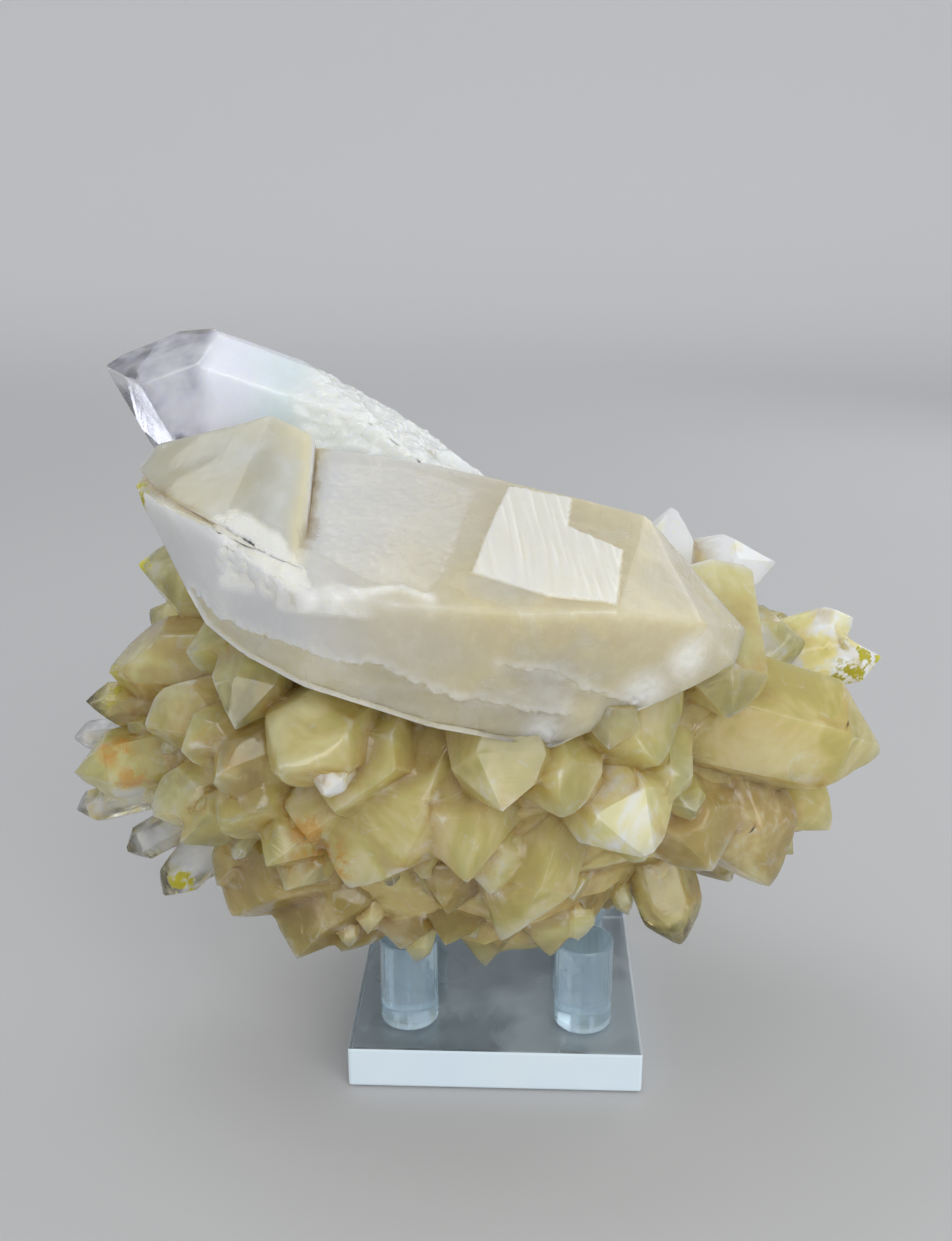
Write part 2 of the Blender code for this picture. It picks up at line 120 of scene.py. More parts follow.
# The right side, from top to bottom.
RIGHT_CRYSTALS = {
    "right_small_top": crystal((36, -3, 124), (32, -4, 92), 14, 13, 10, 0.15),
    "right_white": crystal((59, 2, 110), (8, 0, 100), 19, 17, 0, 0.15),
    "right_clear": crystal((69, -4, 93), (24, -8, 95), 19, 16, 30, 0.30),
    "right_crust_high": crystal((78, 5, 96), (40, 4, 84), 12, 11, 0, 0.20),
    "right_crust_tip": crystal((84, 3, 89), (42, 2, 82), 13, 12, 15, 0.20),
    "right_crust_low": crystal((80, 0, 78), (44, 0, 82), 12, 11, 40, 0.20),
    "right_prism": crystal((80, -20, 75), (8, -24, 95), 24, 28, 4, 0.30),
    "right_bridge": crystal((36, -49, 85), (8, -14, 100), 27, 22, 30, 0.40),
    "right_hanging": crystal((45, -41, 90), (42, -14, 110), 17, 15, 0, 0.25),
    "right_under_tip": crystal((22, -51, 88), (20, -26, 106), 12, 11, 10, 0.20),
    "right_block": crystal((58, -26, 44), (40, -6, 82), 26, 23, 25, 0.20),
    "right_behind": crystal((76, -8, 51), (38, 2, 80), 20, 18, 0, 0.40),
    "right_behind_upper": crystal((82, -4, 65), (36, 0, 80), 18, 17, 20, 0.30),
    "right_brown": crystal((46, -36, 54), (28, -8, 82), 22, 19, 10, 0.35),
    "right_striped": crystal((33, -46, 75), (34, -20, 90), 11, 10, 0, 0.20),
    "right_low_pendant": crystal((41, -24, 30), (29, -8, 62), 16, 14, 5, 0.20),
    "right_low_inner": crystal((20, -29, 38), (16, -8, 64), 17, 15, 0, 0.30),
    "right_low_side": crystal((53, -10, 38), (34, -2, 66), 16, 15, 30, 0.30),
}

# The middle of the front, below the main crystal.
MIDDLE_CRYSTALS = {
    "middle_bright_face": crystal((31, -56, 68), (8, -12, 88), 23, 20, 0, 0.35),
    "middle_green": crystal((2, -45, 43), (17, -20, 88), 24, 19, 20, 0.15),
    "middle_upper": crystal((3, -59, 79), (-2, -16, 98), 22, 19, 25, 0.30),
    "middle_upper_right": crystal((14, -57, 76), (8, -16, 98), 18, 16, 0, 0.30),
    "middle_large": crystal((-27, -52, 55), (-9, -14, 96), 32, 26, 15, 0.25),
    "middle_large_twin": crystal((-5, -52, 60), (-8, -14, 94), 26, 22, 35, 0.30),
    "middle_golden": crystal((-11, -45, 49), (-6, -12, 76), 19, 17, 10, 0.30),
    "middle_light": crystal((-1, -48, 56), (2, -14, 84), 14, 13, 40, 0.25),
    "middle_low": crystal((-9, -37, 37), (-6, -10, 66), 15, 14, 0, 0.25),
    "middle_low_left": crystal((-21, -34, 32), (-14, -8, 62), 17, 16, 30, 0.30),
    "middle_foot_left": crystal((-32, -30, 28), (-20, -6, 60), 22, 19, 0, 0.30),
    "middle_foot_right": crystal((10, -29, 29), (8, -6, 60), 18, 16, 20, 0.35),
    "middle_foot": crystal((-1, -25, 23), (0, -4, 60), 20, 18, 50, 0.40),
}

# The left side, from top to bottom.
LEFT_CRYSTALS = {
    "left_behind_main": crystal((-82, 2, 107), (-34, 0, 96), 25, 21, 0, 0.30),
    "left_behind_upper": crystal((-76, 8, 117), (-30, 4, 100), 16, 15, 30, 0.30),
    "left_round": crystal((-86, -13, 91), (-36, -8, 90), 22, 20, 20, 0.35),
    "left_clear_small": crystal((-89, -13, 81), (-50, -8, 80), 12, 11, 0, 0.20),
    "left_clear_thin": crystal((-94, -8, 71), (-54, -6, 76), 7.5, 7, 10, 0.15),
    "left_yellow": crystal((-91, -18, 67), (-38, -10, 76), 18, 16, 25, 0.30),
    "left_clear_low": crystal((-96, -6, 52), (-52, -4, 64), 10, 9, 0, 0.20),
    "left_clear_lower": crystal((-83, -12, 45), (-50, -4, 62), 10, 9, 30, 0.20),
    "left_pendant": crystal((-74, -17, 36), (-52, -6, 62), 13, 11, 10, 0.15),
    "left_lilac": crystal((-62, -15, 37), (-42, -4, 60), 14, 12, 0, 0.25),
    "left_small_low": crystal((-60, -28, 46), (-42, -8, 64), 12, 11, 0, 0.20),
    "left_big_low": crystal((-59, -31, 34), (-30, -10, 66), 34, 29, 20, 0.30),
    "left_big_low_twin": crystal((-44, -33, 29), (-26, -8, 60), 29, 25, 40, 0.30),
    "left_facetted": crystal((-49, -48, 90), (-42, -20, 108), 16, 14, 0, 0.20),
    "left_ledge": crystal((-61, -36, 100), (-38, -14, 100), 15, 13, 15, 0.30),
    "left_hexagon": crystal((-38, -60, 88), (-26, -16, 88), 21, 19, 0, 0.20),
    "left_olive": crystal((-28, -54, 75), (-18, -14, 90), 23, 19, 30, 0.30),
    "left_bright_bead": crystal((-31, -56, 81), (-24, -24, 88), 7, 7, 0, 0.20),
    "left_front_upper": crystal((-61, -43, 82), (-36, -12, 86), 16, 14, 25, 0.25),
    "left_front_far": crystal((-72, -35, 85), (-40, -10, 84), 18, 15, 0, 0.30),
    "left_front_near": crystal((-52, -49, 79), (-32, -12, 84), 17, 15, 40, 0.30),
    "left_front_low": crystal((-71, -35, 66), (-40, -10, 72), 16, 14, 10, 0.25),
    "left_front_lower": crystal((-63, -40, 62), (-38, -10, 72), 14, 13, 50, 0.20),
    "left_front_middle": crystal((-53, -48, 69), (-32, -10, 76), 18, 16, 20, 0.30),
    "left_front_inner": crystal((-45, -49, 61), (-28, -12, 74), 17, 15, 0, 0.25),
    "left_front_core": crystal((-37, -51, 67), (-26, -12, 78), 18, 16, 30, 0.30),
    "left_bead_low": crystal((-41, -44, 53), (-30, -12, 68), 13, 12, 0, 0.20),
}

# Crystals whose tips stand on the pegs.
REST_CRYSTALS = {
    "rest_front_left": crystal((-18, -16.5, 27.3), (-13, -8, 60), 17, 15, 10, 0.35),
    "rest_back_left": crystal((-19, 18.5, 26.5), (-15, 11, 62), 20, 17, 20, 0.35),
    "rest_back_right": crystal((19, 18.5, 26.5), (15, 11, 62), 21, 18, 45, 0.35),
}

# The main crystal: corners of its outline, of its front edge and of its back, and
# the corners of the shoulder that has grown on its upper left.
MAIN_CRYSTAL = {
    "main_crystal": (
        (-68, -32, 133), (-66, -22, 137), (-60, -19, 138), (-34, -20, 138), (-13, -20, 135), (3, -19, 131),
        (29, -20, 125), (48, -30, 105), (45, -38, 101), (36, -44, 98), (10, -50, 88),
        (-12, -54, 94), (-34, -53, 101), (-45, -49, 105), (-54, -42, 109), (-66, -35, 130),
        (-60, -41, 131), (-49, -47, 128), (-34, -57, 119), (-18, -60, 119), (6, -59, 117),
        (21, -57, 117), (37, -47, 112), (-58, -10, 126), (-40, -4, 126), (4, -4, 118),
        (26, -8, 112), (36, -18, 98), (6, -22, 86), (-44, -20, 98)),
    "main_shoulder": (
        (-69, -27, 135), (-66, -22, 139), (-48, -24, 142), (-43, -24, 145), (-35, -24, 141),
        (-33, -54, 122), (-49, -47, 129), (-61, -38, 132), (-36, -10, 128), (-58, -12, 128)),
}



def cut_away(bm, point, outward):
    """Slice off what lies outside a plane and close the cut."""
    geometry = bm.verts[:] + bm.edges[:] + bm.faces[:]
    result = bmesh.ops.bisect_plane(
        bm, geom=geometry, dist=1e-7, plane_co=point, plane_no=outward, clear_outer=True)
    rim = [item for item in result["geom_cut"] if isinstance(item, bmesh.types.BMEdge)]
    rim = [edge for edge in rim if edge.is_boundary]
    if rim:
        bmesh.ops.edgeloop_fill(bm, edges=rim)


def field_crystals():
    """Crystals on the back, underside and ends, fanned out around the core."""
    dice = random.Random(FIELD_SEED)
    field = {}
    for column in range(FIELD_COLUMNS):
        along = FIELD_HALF_LENGTH * (2 * column / (FIELD_COLUMNS - 1) - 1)
        for row, degrees in enumerate(FIELD_ANGLES):
            angle = math.radians(degrees + dice.uniform(-9, 9))
            root_x = along * 0.62 + dice.uniform(-4, 4)
            tip_x = along * 1.12 + (6 if row % 2 else -6) + dice.uniform(-4, 4)
            shrink = math.sqrt(max(0.1, 1 - (tip_x / FIELD_HALF_SPAN) ** 2))
            reach_z = FIELD_REACH_DOWN if math.sin(angle) > 0 else FIELD_REACH_UP
            reach = shrink * dice.uniform(0.88, 1.08)
            tip_y = -math.cos(angle) * FIELD_REACH_BACK * reach
            tip_z = 70 - math.sin(angle) * reach_z * reach
            width = dice.uniform(*FIELD_WIDTH) * (0.75 + 0.25 * shrink)
            roll = dice.uniform(0, 60)
            if tip_y < -14 and abs(tip_x) < 70:
                continue
            field[f"field_{column}_{row}"] = crystal(
                (tip_x, tip_y, tip_z), (root_x, 0, 72), width, None, roll, 0.35)
    return field


def end_crystals():
    """Crystals that point outward at the two ends, behind the ones in front."""
    dice = random.Random(FIELD_SEED + 1)
    ends = {}
    for side, reach in ((-1, 84), (1, 74)):
        for step, (tip_y, tip_z) in enumerate(((8, 84), (16, 66), (4, 56), (26, 78), (24, 52), (14, 94))):
            tip_x = side * (reach - 0.35 * tip_y + dice.uniform(-4, 4))
            ends[f"end_{side + 1}_{step}"] = crystal(
                (tip_x, tip_y, tip_z), (side * 26, 2, 74), dice.uniform(15, 21), None,
                dice.uniform(0, 60), 0.3)
    return ends


def back_top_crystals():
    """Short crystals on the slope behind the two big crystals."""
    dice = random.Random(FIELD_SEED + 2)
    slope = {}
    for step in range(7):
        along = -48 + 15 * step
        height = 126 - 0.28 * along - 0.0035 * along * along
        tip = (along + dice.uniform(-3, 3), 26 + dice.uniform(-4, 5), height - 11 - 10 * (step % 2))
        root = (0.5 * along, 2, 86)
        width = dice.uniform(15, 20)
        slope[f"slope_{step}"] = crystal(tip, root, width, None, dice.uniform(0, 60), 0.3)
    return slope



# Looks of single crystals: tone from 0 (golden brown) over khaki, beige and pale green
# to 1 (lilac white), and clearness from 0 (milky) to 1 (clear).
CRYSTAL_LOOKS = {
    "right_small_top": (1.00, 0.10), "right_white": (0.98, 0.10), "right_clear": (0.84, 0.60),
    "right_crust_high": (0.90, 0.05), "right_crust_tip": (0.86, 0.05), "right_crust_low": (0.86, 0.05),
    "right_prism": (0.50, 0.45), "right_bridge": (0.46, 0.45), "right_hanging": (0.60, 0.55),
    "right_under_tip": (0.58, 0.60), "right_block": (0.42, 0.50), "right_behind": (0.62, 0.45),
    "right_behind_upper": (0.66, 0.45), "right_brown": (0.26, 0.45), "right_striped": (0.80, 0.45),
    "right_low_pendant": (0.34, 0.90), "right_low_inner": (0.34, 0.55), "right_low_side": (0.24, 0.55),
    "middle_bright_face": (0.84, 0.30), "middle_green": (0.70, 0.50), "middle_upper": (0.50, 0.45),
    "middle_upper_right": (0.54, 0.45), "middle_large": (0.42, 0.45), "middle_large_twin": (0.46, 0.45),
    "middle_golden": (0.06, 0.50), "middle_light": (0.76, 0.50), "middle_low": (0.30, 0.55),
    "middle_low_left": (0.54, 0.65), "middle_foot_left": (0.20, 0.55), "middle_foot_right": (0.70, 0.55),
    "middle_foot": (0.70, 0.55),
    "left_behind_main": (0.72, 0.65), "left_behind_upper": (0.80, 0.70), "left_round": (0.30, 0.60),
    "left_clear_small": (0.40, 0.90), "left_clear_thin": (1.00, 0.95), "left_yellow": (0.78, 0.50),
    "left_clear_low": (0.92, 0.95), "left_clear_lower": (0.90, 0.92), "left_pendant": (0.88, 0.92),
    "left_lilac": (0.96, 0.65), "left_small_low": (0.50, 0.60), "left_big_low": (0.42, 0.45),
    "left_big_low_twin": (0.20, 0.50), "left_facetted": (0.62, 0.70), "left_ledge": (0.72, 0.60),
    "left_hexagon": (0.54, 0.42), "left_olive": (0.38, 0.45), "left_bright_bead": (0.92, 0.10),
    "left_front_upper": (0.36, 0.60), "left_front_far": (0.52, 0.60), "left_front_near": (0.34, 0.55),
    "left_front_low": (0.62, 0.65), "left_front_lower": (0.70, 0.65), "left_front_middle": (0.46, 0.55),
    "left_front_inner": (0.44, 0.55), "left_front_core": (0.40, 0.50), "left_bead_low": (0.66, 0.55),
}
# Painted shade: crystals below this clearness get a lower, browner tone the lower their tips are.
CLEAR_CRYSTAL = 0.72
LOW_SHADE = 0.38
LOW_SHADE_TOP = 58
LOW_SHADE_DEPTH = 26
OTHER_TONES = (0.32, 0.72)
OTHER_CLEARNESS = (0.40, 0.70)
GROUND_LOOK = (0.34, 0.02)

# Fine form of the crystals.
EDGE_BEVEL = 0.9
SOFTENING_ROUNDS = 2
SMALL_BEVEL = 0.2
MAIN_BEVEL = 0.9
TOP_BEVEL = 0.5
FINE_EDGE = 2.8
HERO_EDGE = 1.7
FEATURE_EDGE = 0.6
REFINE_ROUNDS = 11
FLAT_CORNER = math.radians(8)
SHARP_CORNER = math.radians(28)
DRUSE_COUNT = 210
DRUSE_SEED = 77
DRUSE_WIDTH = (3.5, 9.0)
DRUSE_RISE = (2.5, 8.0)
DRUSE_DEPTH = 4

# Main crystal from above (x, y): the face with growth lines, whitened as a painted highlight, the frosted face
# beside it, the scar of a flake on its front edge and the wavy ridge next to that.
STRIATED_FACE = ((2, -22), (14, -21), (13, -32), (23, -36), (21, -55), (9, -55), (-4, -51), (-1, -37))
FROSTED_FACE = ((-33, -25), (-18, -23), (-4, -27), (-9, -52), (-12, -58), (-22, -55), (-31, -50))
FLAKE_SCAR = ((-51, -45), (-46, -43), (-38, -47), (-34, -52), (-31, -57), (-37, -55), (-49, -48))
WAVY_RIDGE = ((-37, -54), (-32, -57), (-27, -58), (-22, -58), (-16, -56), (-11, -58))
GROWTH_LINE_SLANT = 0.14
GROWTH_LINE_WIDTH = 0.9

# Main crystal from the front (x, z): the chipped steps below its front face, and the
# rough places near its right end.
CHIPPED_STEP = (
    (-56, 115.5), (-50, 111.5), (-41, 110), (-34, 109), (-28, 106.5), (-21, 107), (-17, 104.7),
    (-9, 101), (0, 98.6), (6, 97), (12, 96))
CHIPPED_STEP_RIGHT = ((1, 107), (10, 105.4), (18, 100.4), (26, 96.7))
ROUGH_PLACES = (((27, -48, 99), 5.5), ((35, -46, 105), 5.0), ((9, -51, 91.5), 4.0))

# Top crystal along x: where its clear tip ends, and where its broken end starts.
CLEAR_TIP_END = -60
BROKEN_START = -44

# Chlorite (green-yellow) and iron (orange) stains: centre and radius.
CHLORITE_SPOTS = (
    ((-84, -17, 88), 7), ((-81, 0, 109), 8), ((80, 0, 90), 7), ((-68, -20, 41), 5),
    ((-60, -36, 43), 7), ((-67, -34, 131), 4), ((76, -3, 84), 7), ((30, -34, 30), 6),
    ((-30, 44, 74), 8), ((44, 34, 62), 8),
)
IRON_SPOTS = (
    ((-80, -22, 75), 6), ((-76, -24, 68), 5), ((-33, -46, 61), 9), ((-36, -46, 69), 5),
    ((78, -5, 80), 5), ((-31, -42, 52), 6), ((-40, 30, 60), 9), ((30, 34, 84), 8),
)

# The pegs under the cluster, and the gap above them.
PEG_DIAMETER = 12.7
PEG_TOP = 30.1
PEG_OFFSET = 19.2
FIT_GAP = 0.3

# Camera, from the perspective of the stand in the photograph.
CAMERA_PLACE = (0.0048, -0.2768, 0.1876)
CAMERA_PITCH = 18.22
CAMERA_TURN = 2.06
CAMERA_LENS = 39.0
SENSOR_WIDTH = 36


def grow_crystal(spec, seed):
    """A tapering six-sided prism with six unequal termination faces at its tip."""
    dice = random.Random(seed)
    axis = spec.tip - spec.root
    length = axis.length + TIP_REACH * spec.uneven * spec.width
    bm = bmesh.new()
    bmesh.ops.create_cone(
        bm, cap_ends=True, cap_tris=False, segments=6, depth=length,
        radius1=1 + TAPER, radius2=1 - TAPER)
    bmesh.ops.translate(bm, verts=bm.verts, vec=(0, 0, length / 2))
    for vert in bm.verts:
        stretch = 1 + dice.uniform(-0.10, 0.10) if vert.co.z < length / 2 else 1
        vert.co.x *= 0.5 * spec.width * stretch
        vert.co.y *= 0.5 * spec.thickness * stretch
    for side in range(6):
        around = math.radians(60 * side + dice.uniform(-6, 6))
        steep = TERMINATION_ANGLE + math.radians(dice.uniform(-3, 3))
        normal = Vector((
            math.cos(around) * math.cos(steep),
            math.sin(around) * math.cos(steep),
            math.sin(steep)))
        drop = dice.uniform(0, spec.uneven) * (1 if side % 2 else 0.35)
        cut_away(bm, Vector((0, 0, length - drop * spec.width)), normal)
    turn = axis.to_track_quat("Z", "Y").to_matrix().to_4x4()
    roll = Matrix.Rotation(math.radians(spec.roll), 4, "Z")
    bmesh.ops.transform(bm, matrix=Matrix.Translation(spec.root) @ turn @ roll, verts=bm.verts)
    bmesh.ops.recalc_face_normals(bm, faces=bm.faces)
    return bm


def hull_of(corners):
    """The closed convex form around some corners."""
    bm = bmesh.new()
    for corner in corners:
        bm.verts.new(Vector(corner))
    bmesh.ops.convex_hull(bm, input=bm.verts[:])
    bmesh.ops.delete(bm, geom=[vert for vert in bm.verts if not vert.link_faces], context="VERTS")
    bmesh.ops.recalc_face_normals(bm, faces=bm.faces)
    bmesh.ops.dissolve_limit(bm, angle_limit=math.radians(2), verts=bm.verts, edges=bm.edges)
    return bm


def lump(centre, radii, seed):
    """A rough lump of the ground mass."""
    dice = random.Random(seed)
    bm = bmesh.new()
    bmesh.ops.create_icosphere(bm, subdivisions=2, radius=1)
    for vert in bm.verts:
        vert.co *= dice.uniform(0.93, 1.05)
    bmesh.ops.scale(bm, verts=bm.verts, vec=Vector(radii))
    bmesh.ops.translate(bm, verts=bm.verts, vec=Vector(centre))
    return bm


def round_edges(bm, width):
    """Take the sharpness off the edges between crystal faces."""
    edges = [edge for edge in bm.edges if edge.calc_face_angle(0) > FLAT_CORNER]
    bmesh.ops.bevel(
        bm, geom=edges, offset=width, segments=2, profile=0.6, affect="EDGES", clamp_overlap=True)


def split_edge(edge):
    """Halve an edge between triangles and join its middle to the corners opposite."""
    middle = bmesh.utils.edge_split(edge, edge.verts[0], 0.5)[1]
    beside = {other.other_vert(middle) for other in middle.link_edges}
    for face in list(middle.link_faces):
        across = [vert for vert in face.verts if vert is not middle and vert not in beside]
        bmesh.utils.face_split(face, middle, across[0])


def refine(bm, limit_at):
    """Halve edges, the longest first, until each is within the limit at its place."""
    bmesh.ops.triangulate(bm, faces=bm.faces)
    for _ in range(REFINE_ROUNDS):
        edges = list(bm.edges)
        ends = np.array([(*edge.verts[0].co, *edge.verts[1].co) for edge in edges])
        lengths = np.linalg.norm(ends[:, :3] - ends[:, 3:], axis=1)
        limits = limit_at(0.5 * (ends[:, :3] + ends[:, 3:]))
        order = np.argsort(-lengths, kind="stable")
        wanted = [index for index in order if lengths[index] > limits[index]]
        if not wanted:
            break
        for index in wanted:
            split_edge(edges[index])


def helper_object(name, bm, source, group):
    """A temporary object for a union, whose faces remember which crystal they come from."""
    layer = bm.faces.layers.int.new("source")
    for face in bm.faces:
        face[layer] = source
    mesh = bpy.data.meshes.new(name)
    bm.to_mesh(mesh)
    bm.free()
    thing = bpy.data.objects.new(name, mesh)
    group.objects.link(thing)
    return thing


def fuse(name, meshes):
    """The union of closed meshes, as one bmesh without its inner pockets."""
    group = bpy.data.collections.new(name + "_parts")
    bpy.context.scene.collection.children.link(group)
    base_group = bpy.data.collections.new(name + "_base")
    bpy.context.scene.collection.children.link(base_group)
    base = helper_object(name + "_base", meshes[0], 0, base_group)
    for index, bm in enumerate(meshes[1:]):
        helper_object(f"{name}_{index}", bm, index + 1, group)
    union = base.modifiers.new("union", "BOOLEAN")
    union.operation = "UNION"
    union.solver = "MANIFOLD"
    union.operand_type = "COLLECTION"
    union.collection = group
    depsgraph = bpy.context.evaluated_depsgraph_get()
    joined = bpy.data.meshes.new_from_object(base.evaluated_get(depsgraph))
    fused = bmesh.new()
    fused.from_mesh(joined)
    bpy.data.meshes.remove(joined)
    for thing in list(group.objects) + [base]:
        bpy.data.objects.remove(thing)
    bpy.data.collections.remove(group)
    bpy.data.collections.remove(base_group)
    keep_outer_shell(fused)
    return fused


def keep_outer_shell(bm):
    """Delete all but the largest connected shell."""
    waiting = set(bm.verts)
    shells = []
    while waiting:
        start = waiting.pop()
        shell = {start}
        front = [start]
        while front:
            vert = front.pop()
            for edge in vert.link_edges:
                other = edge.other_vert(vert)
                if other in waiting:
                    waiting.remove(other)
                    shell.add(other)
                    front.append(other)
        shells.append(shell)
    largest = max(shells, key=len)
    bmesh.ops.delete(bm, geom=[vert for vert in bm.verts if vert not in largest], context="VERTS")


def druse_crystals():
    """Small crystals that stand on the ground mass between the large ones."""
    dice = random.Random(DRUSE_SEED)
    lumps = list(MATRIX_LUMPS.values())[:3]
    small = []
    for _ in range(DRUSE_COUNT):
        centre, radii = lumps[dice.choice((0, 0, 0, 1, 2))]
        out = Vector([dice.gauss(0, 1) for _ in range(3)]).normalized()
        foot = Vector([c + r * o for c, r, o in zip(centre, radii, out)])
        normal = Vector([o / r for o, r in zip(out, radii)]).normalized()
        lean = Vector([dice.uniform(-0.45, 0.45) for _ in range(3)])
        direction = (normal + lean).normalized()
        tip = foot + direction * dice.uniform(*DRUSE_RISE)
        width = dice.uniform(*DRUSE_WIDTH)
        roll = dice.uniform(0, 60)
        small.append(crystal(tip, foot - direction * DRUSE_DEPTH, width, None, roll, 0.3))
    return small


def ease(values, low, high):
    """Rise smoothly from 0 at low to 1 at high."""
    share = np.clip((values - low) / (high - low), 0, 1)
    return share * share * (3 - 2 * share)


def distance_to_line(flat, corners):
    """Distance of flat points from a line through some corners."""
    nearest = np.full(len(flat), np.inf)
    for start, end in zip(corners[:-1], corners[1:]):
        start = np.array(start, dtype=float)
        along = np.array(end, dtype=float) - start
        share = np.clip(((flat - start) @ along) / (along @ along), 0, 1)
        gap = flat - start - np.outer(share, along)
        nearest = np.minimum(nearest, np.linalg.norm(gap, axis=1))
    return nearest


def depth_inside(flat, corners):
    """How deep flat points lie inside a polygon, negative outside it."""
    inside = np.zeros(len(flat), dtype=bool)
    for (start_x, start_y), (end_x, end_y) in zip(corners, corners[1:] + corners[:1]):
        if start_y == end_y:
            continue
        crosses = (start_y > flat[:, 1]) != (end_y > flat[:, 1])
        edge_x = start_x + (flat[:, 1] - start_y) * (end_x - start_x) / (end_y - start_y)
        inside ^= crosses & (flat[:, 0] < edge_x)
    distance = distance_to_line(flat, corners + corners[:1])
    return np.where(inside, distance, -distance)


def grain(points, size, seed):
    """Smooth noise between -1 and 1; the size may differ along x, y and z."""
    scaled = points / np.array(size) + seed
    return np.array([noise.noise(place) for place in scaled.tolist()])


def near_spots(points, spots):
    """How strongly each point is marked by a set of spots, 0 to 1."""
    amount = np.zeros(len(points))
    for centre, radius in spots:
        distance = np.linalg.norm(points - np.array(centre), axis=1)
        amount = np.maximum(amount, np.clip(1.3 - distance / radius, 0, 1))
    return amount


def vertex_arrays(bm):
    """Places and normals of a mesh's points."""
    bm.normal_update()
    points = np.array([vert.co[:] for vert in bm.verts])
    normals = np.array([vert.normal[:] for vert in bm.verts])
    return points, normals


def push_out(bm, points, normals, relief):
    """Move each point along its normal by its relief."""
    moved = points + normals * relief[:, None]
    for vert, place in zip(bm.verts, moved.tolist()):
        vert.co = place


def lift_off_pegs(bm):
    """Flatten the crystals where they stand on the pegs."""
    reach = 0.5 * PEG_DIAMETER + FIT_GAP
    floor = PEG_TOP + FIT_GAP
    for vert in bm.verts:
        across = abs(vert.co.x) - PEG_OFFSET
        away = abs(vert.co.y) - PEG_OFFSET
        if vert.co.z < floor and math.hypot(across, away) < reach:
            vert.co.z = floor


def growth_waves(points):
    """The slight unevenness of natural crystal faces."""
    pits = np.clip(grain(points, 4.0, 21) - 0.42, 0, 1)
    return 0.20 * grain(points, 8.0, 3) + 0.09 * grain(points, 2.8, 9) - 0.8 * pits


class MainFeatures:
    """Where the features of the main crystal are, each as a strength from 0 to 1."""

    def __init__(self, points, normals):
        plan = points[:, :2]
        front = points[:, (0, 2)]
        self.upper = ease(normals[:, 2], 0.45, 0.70)
        self.front = ease(-normals[:, 1], 0.45, 0.75)
        self.striated = self.upper * ease(depth_inside(plan, STRIATED_FACE), -0.3, 0.3)
        self.frosted = self.upper * ease(depth_inside(plan, FROSTED_FACE), -0.4, 0.6)
        scar = ease(depth_inside(plan, FLAKE_SCAR) + 0.6 * grain(points, 1.8, 31), -0.3, 0.5)
        self.scar = scar * ease(points[:, 2], 117, 119)
        self.wavy = np.exp(-(distance_to_line(plan, WAVY_RIDGE) / 1.1) ** 2) * ease(points[:, 2], 115, 117)
        step_line = np.array(CHIPPED_STEP)
        line_height = np.interp(points[:, 0], step_line[:, 0], step_line[:, 1])
        wobble = 0.9 * grain(points, 2.4, 41) + 0.5 * grain(points, 1.1, 43)
        below = ease(line_height - points[:, 2] + wobble, 0, 0.9)
        self.below = self.front * below * ease(points[:, 0], 15, 11)
        self.near_step = self.front * np.exp(-(distance_to_line(front, CHIPPED_STEP) / 1.6) ** 2)
        right_line = np.array(CHIPPED_STEP_RIGHT)
        right_height = np.interp(points[:, 0], right_line[:, 0], right_line[:, 1])
        drop = right_height - points[:, 2] + wobble
        side_fade = ease(points[:, 0], 0, 3) * ease(points[:, 0], 29, 25)
        self.right_notch = self.front * side_fade * ease(drop, 0, 0.9) * ease(drop, 6.5, 2.5)
        near_right = np.exp(-(distance_to_line(front, CHIPPED_STEP_RIGHT) / 1.4) ** 2)
        self.near_step = np.maximum(self.near_step, self.front * near_right)
        self.rough = near_spots(points, ROUGH_PLACES)


def relief_of_main(points, marks):
    """How far each point of the main crystal stands out."""
    across = points[:, 0] + GROWTH_LINE_SLANT * points[:, 1]
    lines = np.column_stack((across, points[:, 1] / 16, np.zeros(len(points))))
    ridges = grain(lines, GROWTH_LINE_WIDTH, 5) + 0.6 * grain(lines, 2.6 * GROWTH_LINE_WIDTH, 6)
    relief = 0.20 * grain(points, 10.0, 3) + 0.05 * grain(points, 3.0, 9)
    relief += marks.striated * (0.45 + 0.30 * ridges)
    relief += marks.frosted * (0.13 * grain(points, 1.2, 11) - 0.35)
    terraces = np.round(2.5 * grain(points, 3.0, 13)) / 2.5
    relief -= marks.scar * (0.8 + 0.5 * terraces)
    relief += marks.wavy * (0.45 + 0.7 * grain(points, 2.6, 15))
    relief -= 1.1 * marks.below + 0.8 * marks.right_notch
    flowing = grain(points, (10.0, 10.0, 1.7), 17)
    relief += (marks.below + marks.right_notch) * 0.22 * flowing
    relief += (marks.near_step + marks.rough) * 0.40 * grain(points, 1.3, 19)
    shoulder = marks.upper * ease(points[:, 0], -33, -37)
    relief += shoulder * 0.35 * grain(points, 7.0, 23)
    return relief


def main_limits(middles):
    """The longest edge wanted at places on the main crystal."""
    plan = middles[:, :2]
    front = middles[:, (0, 2)]
    upper = middles[:, 2] > 114
    near = upper & (depth_inside(plan, STRIATED_FACE) > -0.8)
    near |= upper & (depth_inside(plan, FROSTED_FACE) > -0.8)
    near |= upper & (depth_inside(plan, FLAKE_SCAR) > -1.2)
    near |= upper & (distance_to_line(plan, WAVY_RIDGE) < 2.5)
    forward = middles[:, 1] < -38
    near |= forward & (distance_to_line(front, CHIPPED_STEP) < 3.0)
    near |= forward & (distance_to_line(front, CHIPPED_STEP_RIGHT) < 3.0)
    near |= near_spots(middles, ROUGH_PLACES) > 0.2
    return np.where(near, FEATURE_EDGE, HERO_EDGE)


def top_limits(middles):
    """The longest edge wanted at places on the top crystal."""
    broken = middles[:, 0] > BROKEN_START - 3
    return np.where(broken, 2 * FEATURE_EDGE, HERO_EDGE)


def even_limits(middles):
    """The same longest edge everywhere."""
    return np.full(len(middles), FINE_EDGE)


